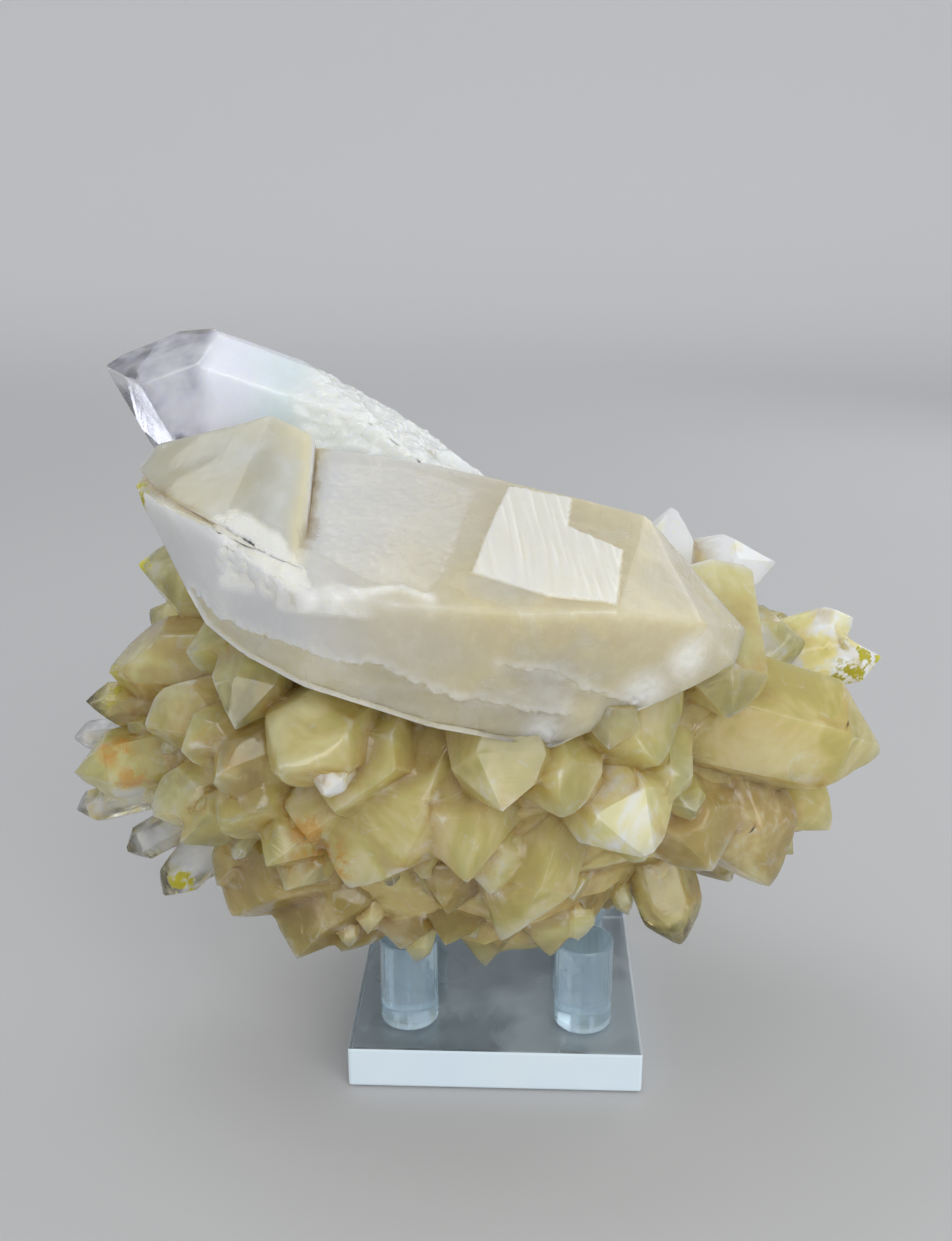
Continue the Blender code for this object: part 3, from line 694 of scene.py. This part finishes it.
def corner_marks(bm):
    """Marks for points in the creases between crystals, where shade is painted, and for points on their edges,
    where white chips and painted highlights go.
    """
    bm.verts.index_update()
    creases = np.zeros(len(bm.verts))
    ridges = np.zeros(len(bm.verts))
    for edge in bm.edges:
        angle = edge.calc_face_angle_signed(0)
        ends = [vert.index for vert in edge.verts]
        if angle < -0.35:
            creases[ends] = np.maximum(creases[ends], min(1, -angle - 0.15))
        elif angle > 0.22:
            ridges[ends] = np.maximum(ridges[ends], min(1, 1.6 * angle))
    return creases, ridges


def spread(mesh, values, keep, rounds):
    """Let marks fade out over neighbouring points."""
    pairs = np.empty(2 * len(mesh.edges), dtype=np.int32)
    mesh.edges.foreach_get("vertices", pairs)
    first, second = pairs.reshape(-1, 2).T
    for _ in range(rounds):
        wider = values.copy()
        np.maximum.at(wider, first, keep * values[second])
        np.maximum.at(wider, second, keep * values[first])
        values = wider
    return values


def set_attribute(mesh, name, values, domain="POINT"):
    """Store one number for each point or face."""
    layer = mesh.attributes.new(name, "FLOAT", domain)
    layer.data.foreach_set("value", np.asarray(values, dtype=np.float32))


def face_sources(mesh):
    """For each face, the number of the crystal that it comes from."""
    sources = np.empty(len(mesh.polygons), dtype=np.int32)
    mesh.attributes["source"].data.foreach_get("value", sources)
    return sources


def place_along(mesh, points, sources, specs):
    """How far each point lies along its own crystal: as a share, and in millimetres."""
    corners = np.empty(len(mesh.loops), dtype=np.int32)
    mesh.loops.foreach_get("vertex_index", corners)
    own = np.zeros(len(points), dtype=np.int32)
    own[corners] = np.repeat(sources, 3)
    share = np.zeros(len(points))
    along = np.zeros(len(points))
    for number, spec in enumerate(specs):
        if spec is None:
            continue
        members = own == number
        axis = np.array(spec.tip - spec.root)
        length = np.linalg.norm(axis)
        along[members] = (points[members] - np.array(spec.root)) @ (axis / length)
        share[members] = along[members] / length
    return share, along


def to_piece(name, bm, specs, looks, marks, material):
    """Turn a millimetre mesh into a piece of the scene that carries its marks."""
    creases, ridges = corner_marks(bm)
    points = np.array([vert.co[:] for vert in bm.verts])
    mesh = bpy.data.meshes.new(name)
    bm.to_mesh(mesh)
    bm.free()
    sources = face_sources(mesh)
    share, along = place_along(mesh, points, sources, specs)
    tones = np.array([look[0] for look in looks])
    clearness = np.array([look[1] for look in looks])
    set_attribute(mesh, "tone", tones[sources], "FACE")
    set_attribute(mesh, "clearness", clearness[sources], "FACE")
    set_attribute(mesh, "tipness", np.clip(share, 0, 1))
    set_attribute(mesh, "along", along)
    # This mark paints shade into the creases between crystals.
    set_attribute(mesh, "crevice_shade", spread(mesh, creases, 0.62, 2))
    # The ridge mark places white chips and painted highlights on the crystal edges.
    set_attribute(mesh, "ridge", ridges)
    set_attribute(mesh, "chlorite", near_spots(points, CHLORITE_SPOTS))
    set_attribute(mesh, "iron", near_spots(points, IRON_SPOTS))
    for mark in ("frosting_and_sheen", "shift", "veil"):
        set_attribute(mesh, mark, marks.get(mark, np.zeros(len(points))))
    mesh.transform(Matrix.Scale(MM, 4))
    mesh.shade_smooth()
    mesh.set_sharp_from_angle(angle=SHARP_CORNER)
    mesh.materials.append(material)
    thing = bpy.data.objects.new(name, mesh)
    bpy.context.scene.collection.objects.link(thing)
    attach(thing, "root")
    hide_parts("quartz_cluster")
    return thing


def low_shade(height):
    """How much darker and browner, as painted shade, a crystal is whose tip is at this height."""
    return LOW_SHADE * min(max((LOW_SHADE_TOP - height) / LOW_SHADE_DEPTH, 0.0), 1.0)


def all_crystals():
    """Every crystal of the cluster by name, in the order in which they grow."""
    everything = {}
    for source in (TOP_CRYSTAL, RIGHT_CRYSTALS, MIDDLE_CRYSTALS, LEFT_CRYSTALS,
                   field_crystals(), end_crystals(), back_top_crystals(), REST_CRYSTALS):
        everything.update(source)
    return everything


def build_lower_cluster(everything, material):
    """The ground mass with all the smaller crystals on it, as one grown mesh."""
    dice = random.Random(5)
    meshes = []
    specs = []
    looks = []
    for index, (centre, radii) in enumerate(MATRIX_LUMPS.values()):
        meshes.append(lump(centre, radii, 40 + index))
        specs.append(None)
        looks.append(GROUND_LOOK)
    for index, (name, spec) in enumerate(everything.items()):
        if name in TOP_CRYSTAL:
            continue
        bm = grow_crystal(spec, 100 + index)
        round_edges(bm, EDGE_BEVEL)
        meshes.append(bm)
        specs.append(spec)
        by_chance = (dice.uniform(*OTHER_TONES), dice.uniform(*OTHER_CLEARNESS))
        tone, clearness = CRYSTAL_LOOKS.get(name, by_chance)
        # Painted shade: the lower the tip, the lower and browner the tone.
        if clearness < CLEAR_CRYSTAL:
            tone = max(tone - low_shade(spec.tip[2]), 0.0)
        looks.append((tone, clearness))
    for index, spec in enumerate(druse_crystals()):
        bm = grow_crystal(spec, 900 + index)
        round_edges(bm, SMALL_BEVEL)
        meshes.append(bm)
        specs.append(spec)
        looks.append((dice.uniform(*OTHER_TONES), dice.uniform(*OTHER_CLEARNESS)))
    bm = fuse("cluster", meshes)
    refine(bm, even_limits)
    for _ in range(SOFTENING_ROUNDS):
        bmesh.ops.smooth_vert(bm, verts=bm.verts, factor=0.5, use_axis_x=True, use_axis_y=True, use_axis_z=True)
    points, normals = vertex_arrays(bm)
    push_out(bm, points, normals, growth_waves(points))
    lift_off_pegs(bm)
    return to_piece("crystal_cluster", bm, specs, looks, {}, material)


def build_main_crystal(material):
    """The big crystal across the front."""
    meshes = []
    for corners in MAIN_CRYSTAL.values():
        bm = hull_of(corners)
        round_edges(bm, MAIN_BEVEL)
        meshes.append(bm)
    bm = fuse("main", meshes)
    refine(bm, main_limits)
    points, normals = vertex_arrays(bm)
    features = MainFeatures(points, normals)
    push_out(bm, points, normals, relief_of_main(points, features))
    broken = np.maximum(features.scar, 0.7 * features.wavy)
    broken = np.maximum(broken, 0.45 * features.near_step)
    broken = np.maximum(broken, 0.9 * features.rough)
    broken = np.maximum(broken, 0.35 * features.frosted)
    # The face with growth lines is whitened here as a painted highlight, not as a broken place.
    broken = np.maximum(broken, 0.85 * features.striated)
    warmth = 0.75 * ease(points[:, 0], -50, 6) * ease(points[:, 2], 150, 118)
    warmth = np.maximum(warmth, 0.72 * features.below)
    shoulder = features.upper * ease(points[:, 0], -30, -38)
    marks = {
        "frosting_and_sheen": broken,
        "shift": np.clip(np.maximum(warmth, 0.9 * shoulder) + 0.2 * grain(points, 16.0, 51), 0, 1),
        "veil": np.clip(0.22 * features.below + 0.35 * ease(points[:, 0], -36, -44) * features.upper, 0, 1),
    }
    specs = [crystal((-69, -32, 134), (45, -38, 102), 46, 40)] * len(MAIN_CRYSTAL)
    looks = [(0.0, 0.08)] * len(MAIN_CRYSTAL)
    return to_piece("main_crystal", bm, specs, looks, marks, material)


def build_top_crystal(everything, material):
    """The clear crystal behind the main one, with its broken rear end."""
    meshes = []
    specs = []
    for index, (name, spec) in enumerate(everything.items()):
        if name not in TOP_CRYSTAL:
            continue
        bm = grow_crystal(spec, 100 + index)
        if name == "top_crystal":
            for point, outward in TOP_CRYSTAL_BREAKS:
                cut_away(bm, Vector(point), Vector(outward).normalized())
            bmesh.ops.recalc_face_normals(bm, faces=bm.faces)
        round_edges(bm, TOP_BEVEL)
        meshes.append(bm)
        specs.append(spec)
    bm = fuse("top", meshes)
    refine(bm, top_limits)
    points, normals = vertex_arrays(bm)
    broken = ease(points[:, 0] + 3 * grain(points, 6.0, 61), BROKEN_START, BROKEN_START + 8)
    terraces = np.round(3 * grain(points, (4.0, 4.0, 2.2), 63)) / 3
    relief = 0.12 * grain(points, 8.0, 3) + 0.03 * grain(points, 2.8, 9)
    relief += broken * (0.75 * terraces + 0.35 * grain(points, 1.4, 65))
    push_out(bm, points, normals, relief)
    tip_face = ease(-normals[:, 0], 0.6, 0.8) * ease(points[:, 2], 145, 148)
    marks = {
        "frosting_and_sheen": np.maximum(0.8 * broken, 0.7 * tip_face * ease(points[:, 0], -70, -76)),
        "shift": np.clip(ease(points[:, 0], -66, -40) + 0.3 * grain(points, 12.0, 67), 0, 1),
        "veil": ease(points[:, 0] + 2 * grain(points, 5.0, 69), CLEAR_TIP_END + 4, CLEAR_TIP_END - 2),
    }
    looks = [(0.0, 0.02)] * len(specs)
    return to_piece("top_crystal", bm, specs, looks, marks, material)


def tint(red, green, blue):
    """A colour given as 0 to 255 on a screen, as the linear values that shaders take."""
    return tuple(((value / 255 + 0.055) / 1.055) ** 2.4 for value in (red, green, blue))


# Palettes from tone 0 to 1.
KHAKI_PALETTE = (
    (0.00, tint(182, 162, 92)), (0.15, tint(200, 176, 112)), (0.28, tint(216, 196, 138)),
    (0.42, tint(216, 204, 128)), (0.56, tint(228, 210, 150)), (0.70, tint(224, 216, 146)),
    (0.84, tint(238, 228, 170)), (0.93, tint(234, 236, 236)))
MILKY_PALETTE = (
    (0.00, tint(210, 211, 213)), (0.35, tint(212, 210, 200)), (0.70, tint(219, 212, 180)),
    (1.00, tint(192, 194, 192)))
CLEAR_PALETTE = (
    (0.00, tint(236, 236, 250)), (0.50, tint(234, 238, 252)), (1.00, tint(226, 240, 248)))
CHLORITE_GREEN = tint(158, 150, 22)
IRON_ORANGE = tint(176, 124, 36)
# Painted shade: the brown that darkens the creases and the roots of the crystals.
PAINTED_SHADE_BROWN = tint(168, 138, 80)
# White of frost and chips, also used for painted highlights and glints.
FROSTING_AND_HIGHLIGHT_WHITE = tint(238, 238, 234)


class Nodes:
    """Short calls for building a material's node tree."""

    def __init__(self, name):
        self.material = bpy.data.materials.new(name)
        self.material.use_nodes = True
        self.tree = self.material.node_tree
        self.shader = self.tree.nodes["Principled BSDF"]
        self.output = self.tree.nodes["Material Output"]

    def add(self, kind, **settings):
        """Add a node and set its properties."""
        node = self.tree.nodes.new(kind)
        for key, value in settings.items():
            setattr(node, key, value)
        return node

    def link(self, source, target):
        """Connect two sockets."""
        self.tree.links.new(source, target)

    def place(self):
        """The place on the object, in metres."""
        return self.add("ShaderNodeTexCoord").outputs["Object"]

    def attribute(self, name):
        """A number stored on the mesh."""
        return self.add("ShaderNodeAttribute", attribute_name=name).outputs["Fac"]

    def noise(self, vector, scale, detail=3, roughness=0.55, distortion=0):
        """Fractal noise between 0 and 1."""
        node = self.add("ShaderNodeTexNoise")
        node.inputs["Scale"].default_value = scale
        node.inputs["Detail"].default_value = detail
        node.inputs["Roughness"].default_value = roughness
        node.inputs["Distortion"].default_value = distortion
        self.link(vector, node.inputs["Vector"])
        return node.outputs["Fac"]

    def math(self, operation, first, second=0.0):
        """Arithmetic on two numbers or sockets."""
        node = self.add("ShaderNodeMath", operation=operation)
        for value, socket in ((first, node.inputs[0]), (second, node.inputs[1])):
            if isinstance(value, (int, float)):
                socket.default_value = value
            else:
                self.link(value, socket)
        return node.outputs[0]

    def ramp(self, value, low, high, start=0.0, end=1.0):
        """Map low..high to start..end, clamped."""
        node = self.add("ShaderNodeMapRange", interpolation_type="SMOOTHSTEP")
        node.inputs["From Min"].default_value = low
        node.inputs["From Max"].default_value = high
        node.inputs["To Min"].default_value = start
        node.inputs["To Max"].default_value = end
        self.link(value, node.inputs["Value"])
        return node.outputs["Result"]

    def palette(self, value, stops):
        """A colour from a row of colours by a number between 0 and 1."""
        node = self.add("ShaderNodeValToRGB")
        row = node.color_ramp.elements
        for _ in range(len(stops) - 2):
            row.new(0.5)
        for element, (position, colour) in zip(row, stops):
            element.position = position
            element.color = (*colour, 1)
        self.link(value, node.inputs["Fac"])
        return node.outputs["Color"]

    def mix(self, factor, first, second, blend="MIX"):
        """Blend two colours."""
        node = self.add("ShaderNodeMix", data_type="RGBA", blend_type=blend)
        self.link(factor, node.inputs["Factor"])
        for value, socket in ((first, node.inputs["A"]), (second, node.inputs["B"])):
            if isinstance(value, tuple):
                socket.default_value = (*value, 1)
            else:
                self.link(value, socket)
        return node.outputs["Result"]

    def bump(self, height, distance, strength):
        """A bump from a height between 0 and 1, its depth in metres."""
        node = self.add("ShaderNodeBump")
        node.inputs["Distance"].default_value = distance
        node.inputs["Strength"].default_value = strength
        self.link(height, node.inputs["Height"])
        return node.outputs["Normal"]


def growth_lines(nodes, place, spacing):
    """Fine growth lines across a crystal, from the place along it."""
    split = nodes.add("ShaderNodeSeparateXYZ")
    nodes.link(place, split.inputs[0])
    join = nodes.add("ShaderNodeCombineXYZ")
    nodes.link(nodes.math("MULTIPLY", nodes.attribute("along"), 1 / spacing), join.inputs[0])
    nodes.link(nodes.math("MULTIPLY", split.outputs[0], 40), join.inputs[1])
    nodes.link(nodes.math("MULTIPLY", split.outputs[2], 40), join.inputs[2])
    return nodes.noise(join.outputs[0], 1.0, 2, 0.6)


def quartz_material(name, palette, glow, rough, line_spacing, edge_chip_and_glint, tone_spread, chip_and_glint_share):
    """Milky to clear quartz with stains, painted shade in the creases and at the roots, and white places that
    are partly frost and chips, partly painted highlights and glints.
    """
    nodes = Nodes(name)
    place = nodes.place()
    shader = nodes.shader
    cloud = nodes.noise(place, 70, 3, 0.6, 0.4)
    speckle = nodes.noise(place, 330, 3, 0.7)
    tone = nodes.math("ADD", nodes.attribute("tone"), nodes.math("MULTIPLY", nodes.attribute("shift"), 1.0))
    tone = nodes.math("ADD", tone, nodes.ramp(cloud, 0.3, 0.7, -tone_spread, tone_spread))
    colour = nodes.palette(tone, palette)
    colour = nodes.mix(nodes.ramp(cloud, 0.48, 0.72, 0.0, 0.22), colour, FROSTING_AND_HIGHLIGHT_WHITE)
    # Small white patches on the faces: painted glints, partly chips.
    chip_and_glint_patches = nodes.ramp(nodes.noise(place, 190, 4, 0.7, 1.5), 0.56, 0.68, 0.0, chip_and_glint_share)
    colour = nodes.mix(chip_and_glint_patches, colour, FROSTING_AND_HIGHLIGHT_WHITE)
    # Painted shade: darker towards the roots of the crystals and in the creases between them.
    root = nodes.ramp(nodes.attribute("tipness"), 0.35, 0.85, 0.35, 0.0)
    crevice_shade = nodes.math("MAXIMUM", nodes.attribute("crevice_shade"), root)
    crevice_shade = nodes.math("MULTIPLY", crevice_shade, nodes.ramp(speckle, 0.25, 0.6, 0.55, 0.85))
    colour = nodes.mix(crevice_shade, colour, PAINTED_SHADE_BROWN, "MULTIPLY")
    # White along the crystal edges: partly chips, partly painted highlights where the edges catch the light.
    chip_and_glint_noise = nodes.noise(place, 150, 2, 0.6)
    edge = nodes.math("MULTIPLY", nodes.attribute("ridge"), nodes.ramp(chip_and_glint_noise, 0.50, 0.66, 0.0, edge_chip_and_glint))
    edge = nodes.math("MULTIPLY", edge, nodes.ramp(nodes.attribute("veil"), 0.0, 0.2, 1.0, 0.0))
    # Frost, chips and painted highlights all whiten the colour here.
    frosting_and_sheen = nodes.math("MAXIMUM", edge, nodes.math("MULTIPLY", nodes.attribute("frosting_and_sheen"), 0.8))
    colour = nodes.mix(frosting_and_sheen, colour, FROSTING_AND_HIGHLIGHT_WHITE)
    chlorite = nodes.math("MULTIPLY", nodes.attribute("chlorite"), nodes.ramp(speckle, 0.40, 0.60, 0.15, 1.0))
    chlorite = nodes.ramp(chlorite, 0.22, 0.6)
    colour = nodes.mix(chlorite, colour, CHLORITE_GREEN)
    rust = nodes.math("MULTIPLY", nodes.attribute("iron"), nodes.ramp(speckle, 0.30, 0.6, 0.35, 1.0))
    rust = nodes.ramp(rust, 0.2, 0.9, 0.0, 0.8)
    colour = nodes.mix(rust, colour, IRON_ORANGE)
    nodes.link(colour, shader.inputs["Base Color"])
    dirt = nodes.math("MAXIMUM", chlorite, rust)
    # Stains, frost, painted shade and painted highlights make the quartz less clear and rougher.
    stain_frosting_and_painted_light = nodes.math("MAXIMUM", dirt, nodes.math("MAXIMUM", frosting_and_sheen, crevice_shade))
    tips = nodes.ramp(nodes.attribute("tipness"), 0.3, 0.9, 0.6, 1.0)
    clear = nodes.math("MULTIPLY", nodes.attribute("clearness"), tips)
    clear = nodes.math("MAXIMUM", clear, nodes.math("MULTIPLY", nodes.attribute("veil"), 0.85))
    clear = nodes.math("MULTIPLY", clear, nodes.ramp(cloud, 0.35, 0.7, 1.1, 0.6))
    clear = nodes.math("MULTIPLY", clear, nodes.math("SUBTRACT", 1.0, stain_frosting_and_painted_light))
    nodes.link(clear, shader.inputs["Transmission Weight"])
    gloss = nodes.ramp(cloud, 0.3, 0.75, rough[0], rough[1])
    gloss = nodes.math("ADD", gloss, nodes.math("MULTIPLY", stain_frosting_and_painted_light, 0.22))
    nodes.link(gloss, shader.inputs["Roughness"])
    shader.inputs["IOR"].default_value = 1.54
    shader.inputs["Subsurface Weight"].default_value = 1.0
    shader.inputs["Subsurface Scale"].default_value = glow
    shader.inputs["Subsurface Radius"].default_value = (1.0, 0.94, 0.72)
    height = nodes.math("ADD", growth_lines(nodes, place, line_spacing), nodes.math("MULTIPLY", speckle, 0.8))
    nodes.link(nodes.bump(height, 0.00016, 0.35), shader.inputs["Normal"])
    return nodes.material


def add_absorption(material, colour, density):
    """Let the clear inside of a material take up a little light."""
    tree = material.node_tree
    haze = tree.nodes.new("ShaderNodeVolumeAbsorption")
    haze.inputs["Color"].default_value = (*colour, 1)
    haze.inputs["Density"].default_value = density
    tree.links.new(haze.outputs[0], tree.nodes["Material Output"].inputs["Volume"])


def acrylic_material():
    """Clear cast acrylic with faint scuffs, milky sides that are partly frosted by sawing and partly a painted
    glow of light carried through the plate, and painted reflections as cloudy milk on the plate's top.
    """
    nodes = Nodes("clear_acrylic_polished")
    place = nodes.place()
    shader = nodes.shader
    split = nodes.add("ShaderNodeSeparateXYZ")
    nodes.link(nodes.add("ShaderNodeNewGeometry").outputs["Normal"], split.inputs[0])
    side_faces = nodes.ramp(nodes.math("ABSOLUTE", split.outputs[2]), 0.9, 0.4)
    height = nodes.add("ShaderNodeSeparateXYZ")
    nodes.link(place, height.inputs[0])
    plate = nodes.ramp(height.outputs[2], 0.0097, 0.0095)
    low = nodes.ramp(height.outputs[2], 0.0125, 0.0105)
    glue = nodes.math("MULTIPLY", low, nodes.ramp(height.outputs[2], 0.0095, 0.0099))
    # The plate's sides are made milky: partly the frost of the saw, partly a painted glow of light carried
    # through the acrylic.
    milkiness_and_painted_light = nodes.math("ADD", nodes.math("MULTIPLY", nodes.math("MULTIPLY", side_faces, plate), 0.84), 0.06)
    peg = nodes.math("SUBTRACT", 1.0, plate)
    milkiness_and_painted_light = nodes.math("ADD", milkiness_and_painted_light, nodes.math("MULTIPLY", peg, 0.10))
    top = nodes.math("SUBTRACT", plate, nodes.math("MULTIPLY", side_faces, plate))
    # Painted reflections and shade: cloudy milky patches on the plate's top stand in for reflected light and
    # shadow.
    haze = nodes.ramp(nodes.noise(place, 45, 2), 0.42, 0.62, 0.02, 0.26)
    milkiness_and_painted_light = nodes.math("ADD", milkiness_and_painted_light, nodes.math("MULTIPLY", top, haze))
    milkiness_and_painted_light = nodes.math("ADD", milkiness_and_painted_light, nodes.math("MULTIPLY", glue, 0.35))
    nodes.link(nodes.math("SUBTRACT", 0.97, milkiness_and_painted_light), shader.inputs["Transmission Weight"])
    shader.inputs["IOR"].default_value = 1.49
    colour = nodes.mix(nodes.noise(place, 60, 3), (0.74, 0.88, 1.0), (0.86, 0.95, 1.0))
    colour = nodes.mix(nodes.math("MULTIPLY", peg, 0.8), colour, (0.70, 0.88, 1.0))
    nodes.link(colour, shader.inputs["Base Color"])
    scuff = nodes.ramp(nodes.noise(place, 300, 5, 0.75, 2.0), 0.55, 0.8, 0.02, 0.12)
    nodes.link(scuff, shader.inputs["Roughness"])
    nodes.link(nodes.bump(nodes.noise(place, 120, 3, 0.6), 0.00004, 0.2), shader.inputs["Normal"])
    return nodes.material


def floor_material():
    """A pale matt floor, painted paler towards the back and up the backdrop as light that makes up for the
    lamps' falloff.
    """
    nodes = Nodes("pale_floor")
    nodes.shader.inputs["Roughness"].default_value = 0.85
    split = nodes.add("ShaderNodeSeparateXYZ")
    nodes.link(nodes.place(), split.inputs[0])
    colour = nodes.mix(nodes.noise(nodes.place(), 6, 3), (0.55, 0.55, 0.56), (0.57, 0.57, 0.58))
    # Painted light: paler towards the back, to even out where the lamps' light falls off.
    colour = nodes.mix(nodes.ramp(split.outputs[1], 0.4, 1.7), colour, (0.84, 0.84, 0.86))
    nodes.link(colour, nodes.shader.inputs["Base Color"])
    return nodes.material


def build_floor():
    """A floor that curves up into a backdrop far behind."""
    bm = bmesh.new()
    profile = [(-3.0, -0.0003), (1.2, -0.0003)]
    for step in range(1, 9):
        turn = math.radians(90 * step / 8)
        profile.append((1.2 + 0.8 * math.sin(turn), 0.8 - 0.8 * math.cos(turn)))
    profile.append((2.0, 3.0))
    left = [bm.verts.new((-4.0, y, z)) for y, z in profile]
    right = [bm.verts.new((4.0, y, z)) for y, z in profile]
    for index in range(len(profile) - 1):
        bm.faces.new((left[index], right[index], right[index + 1], left[index + 1]))
    mesh = bpy.data.meshes.new("floor")
    bm.to_mesh(mesh)
    bm.free()
    mesh.shade_smooth()
    mesh.materials.append(floor_material())
    floor = bpy.data.objects.new("floor", mesh)
    bpy.context.scene.collection.objects.link(floor)


def add_light(name, place, aim, size, power, colour):
    """A soft rectangular studio light."""
    data = bpy.data.lights.new(name, "AREA")
    data.shape = "RECTANGLE"
    data.size, data.size_y = size
    data.energy = power
    data.color = colour
    lamp = bpy.data.objects.new(name, data)
    lamp.location = place
    lamp.rotation_euler = (Vector(aim) - Vector(place)).to_track_quat("-Z", "Y").to_euler()
    bpy.context.scene.collection.objects.link(lamp)


def light_studio():
    """Soft cool light from above and behind, even fill from the front."""
    aim = (0, 0, 0.09)
    add_light("key_above_left", (-0.35, 0.20, 0.85), aim, (0.45, 0.45), 1.0, (0.95, 0.98, 1.0))
    add_light("rim_back_right", (0.50, 0.60, 0.45), aim, (0.5, 0.4), 0.9, (0.95, 0.98, 1.0))
    add_light("fill_front", (0.35, -0.75, 0.45), aim, (0.9, 0.6), 4.2, (0.98, 1.0, 1.0))
    world = bpy.data.worlds.new("studio")
    world.use_nodes = True
    world.node_tree.nodes["Background"].inputs["Color"].default_value = (0.98, 0.99, 1.0, 1)
    world.node_tree.nodes["Background"].inputs["Strength"].default_value = 0.60
    bpy.context.scene.world = world


def set_light_paths():
    """Enough bounces for clear crystal, and colours as they are."""
    scene = bpy.context.scene
    scene.cycles.max_bounces = 9
    scene.cycles.transmission_bounces = 8
    scene.cycles.diffuse_bounces = 3
    scene.cycles.glossy_bounces = 3
    scene.view_settings.view_transform = "Standard"


def place_camera():
    """The camera at the photograph's place and angle."""
    data = bpy.data.cameras.new("camera")
    data.sensor_width = SENSOR_WIDTH
    data.lens = CAMERA_LENS
    camera = bpy.data.objects.new("camera", data)
    camera.location = CAMERA_PLACE
    camera.rotation_euler = (math.radians(90 - CAMERA_PITCH), 0, math.radians(CAMERA_TURN))
    bpy.context.scene.collection.objects.link(camera)
    bpy.context.scene.camera = camera


def dress_stand():
    """Polished acrylic on the base and pegs."""
    acrylic = acrylic_material()
    for name in ("stand_base", "peg_front_left", "peg_front_right", "peg_back_left", "peg_back_right"):
        node = frame["nodes"][name]
        node.data.materials.clear()
        node.data.materials.append(acrylic)


def main():
    """Dress the part and set the scene."""
    lower = quartz_material("khaki_quartz", KHAKI_PALETTE, 0.0250, (0.05, 0.20), 0.9, 0.45, 0.14, 0.30)
    milky = quartz_material("milky_quartz", MILKY_PALETTE, 0.0140, (0.12, 0.28), 1.1, 0.15, 0.07, 0.12)
    clear = quartz_material("clear_quartz", CLEAR_PALETTE, 0.0070, (0.03, 0.18), 1.1, 0.40, 0.07, 0.30)
    add_absorption(clear, (0.93, 0.95, 1.0), 4)
    everything = all_crystals()
    build_lower_cluster(everything, lower)
    build_main_crystal(milky)
    build_top_crystal(everything, clear)
    dress_stand()
    build_floor()
    light_studio()
    set_light_paths()
    place_camera()


main()
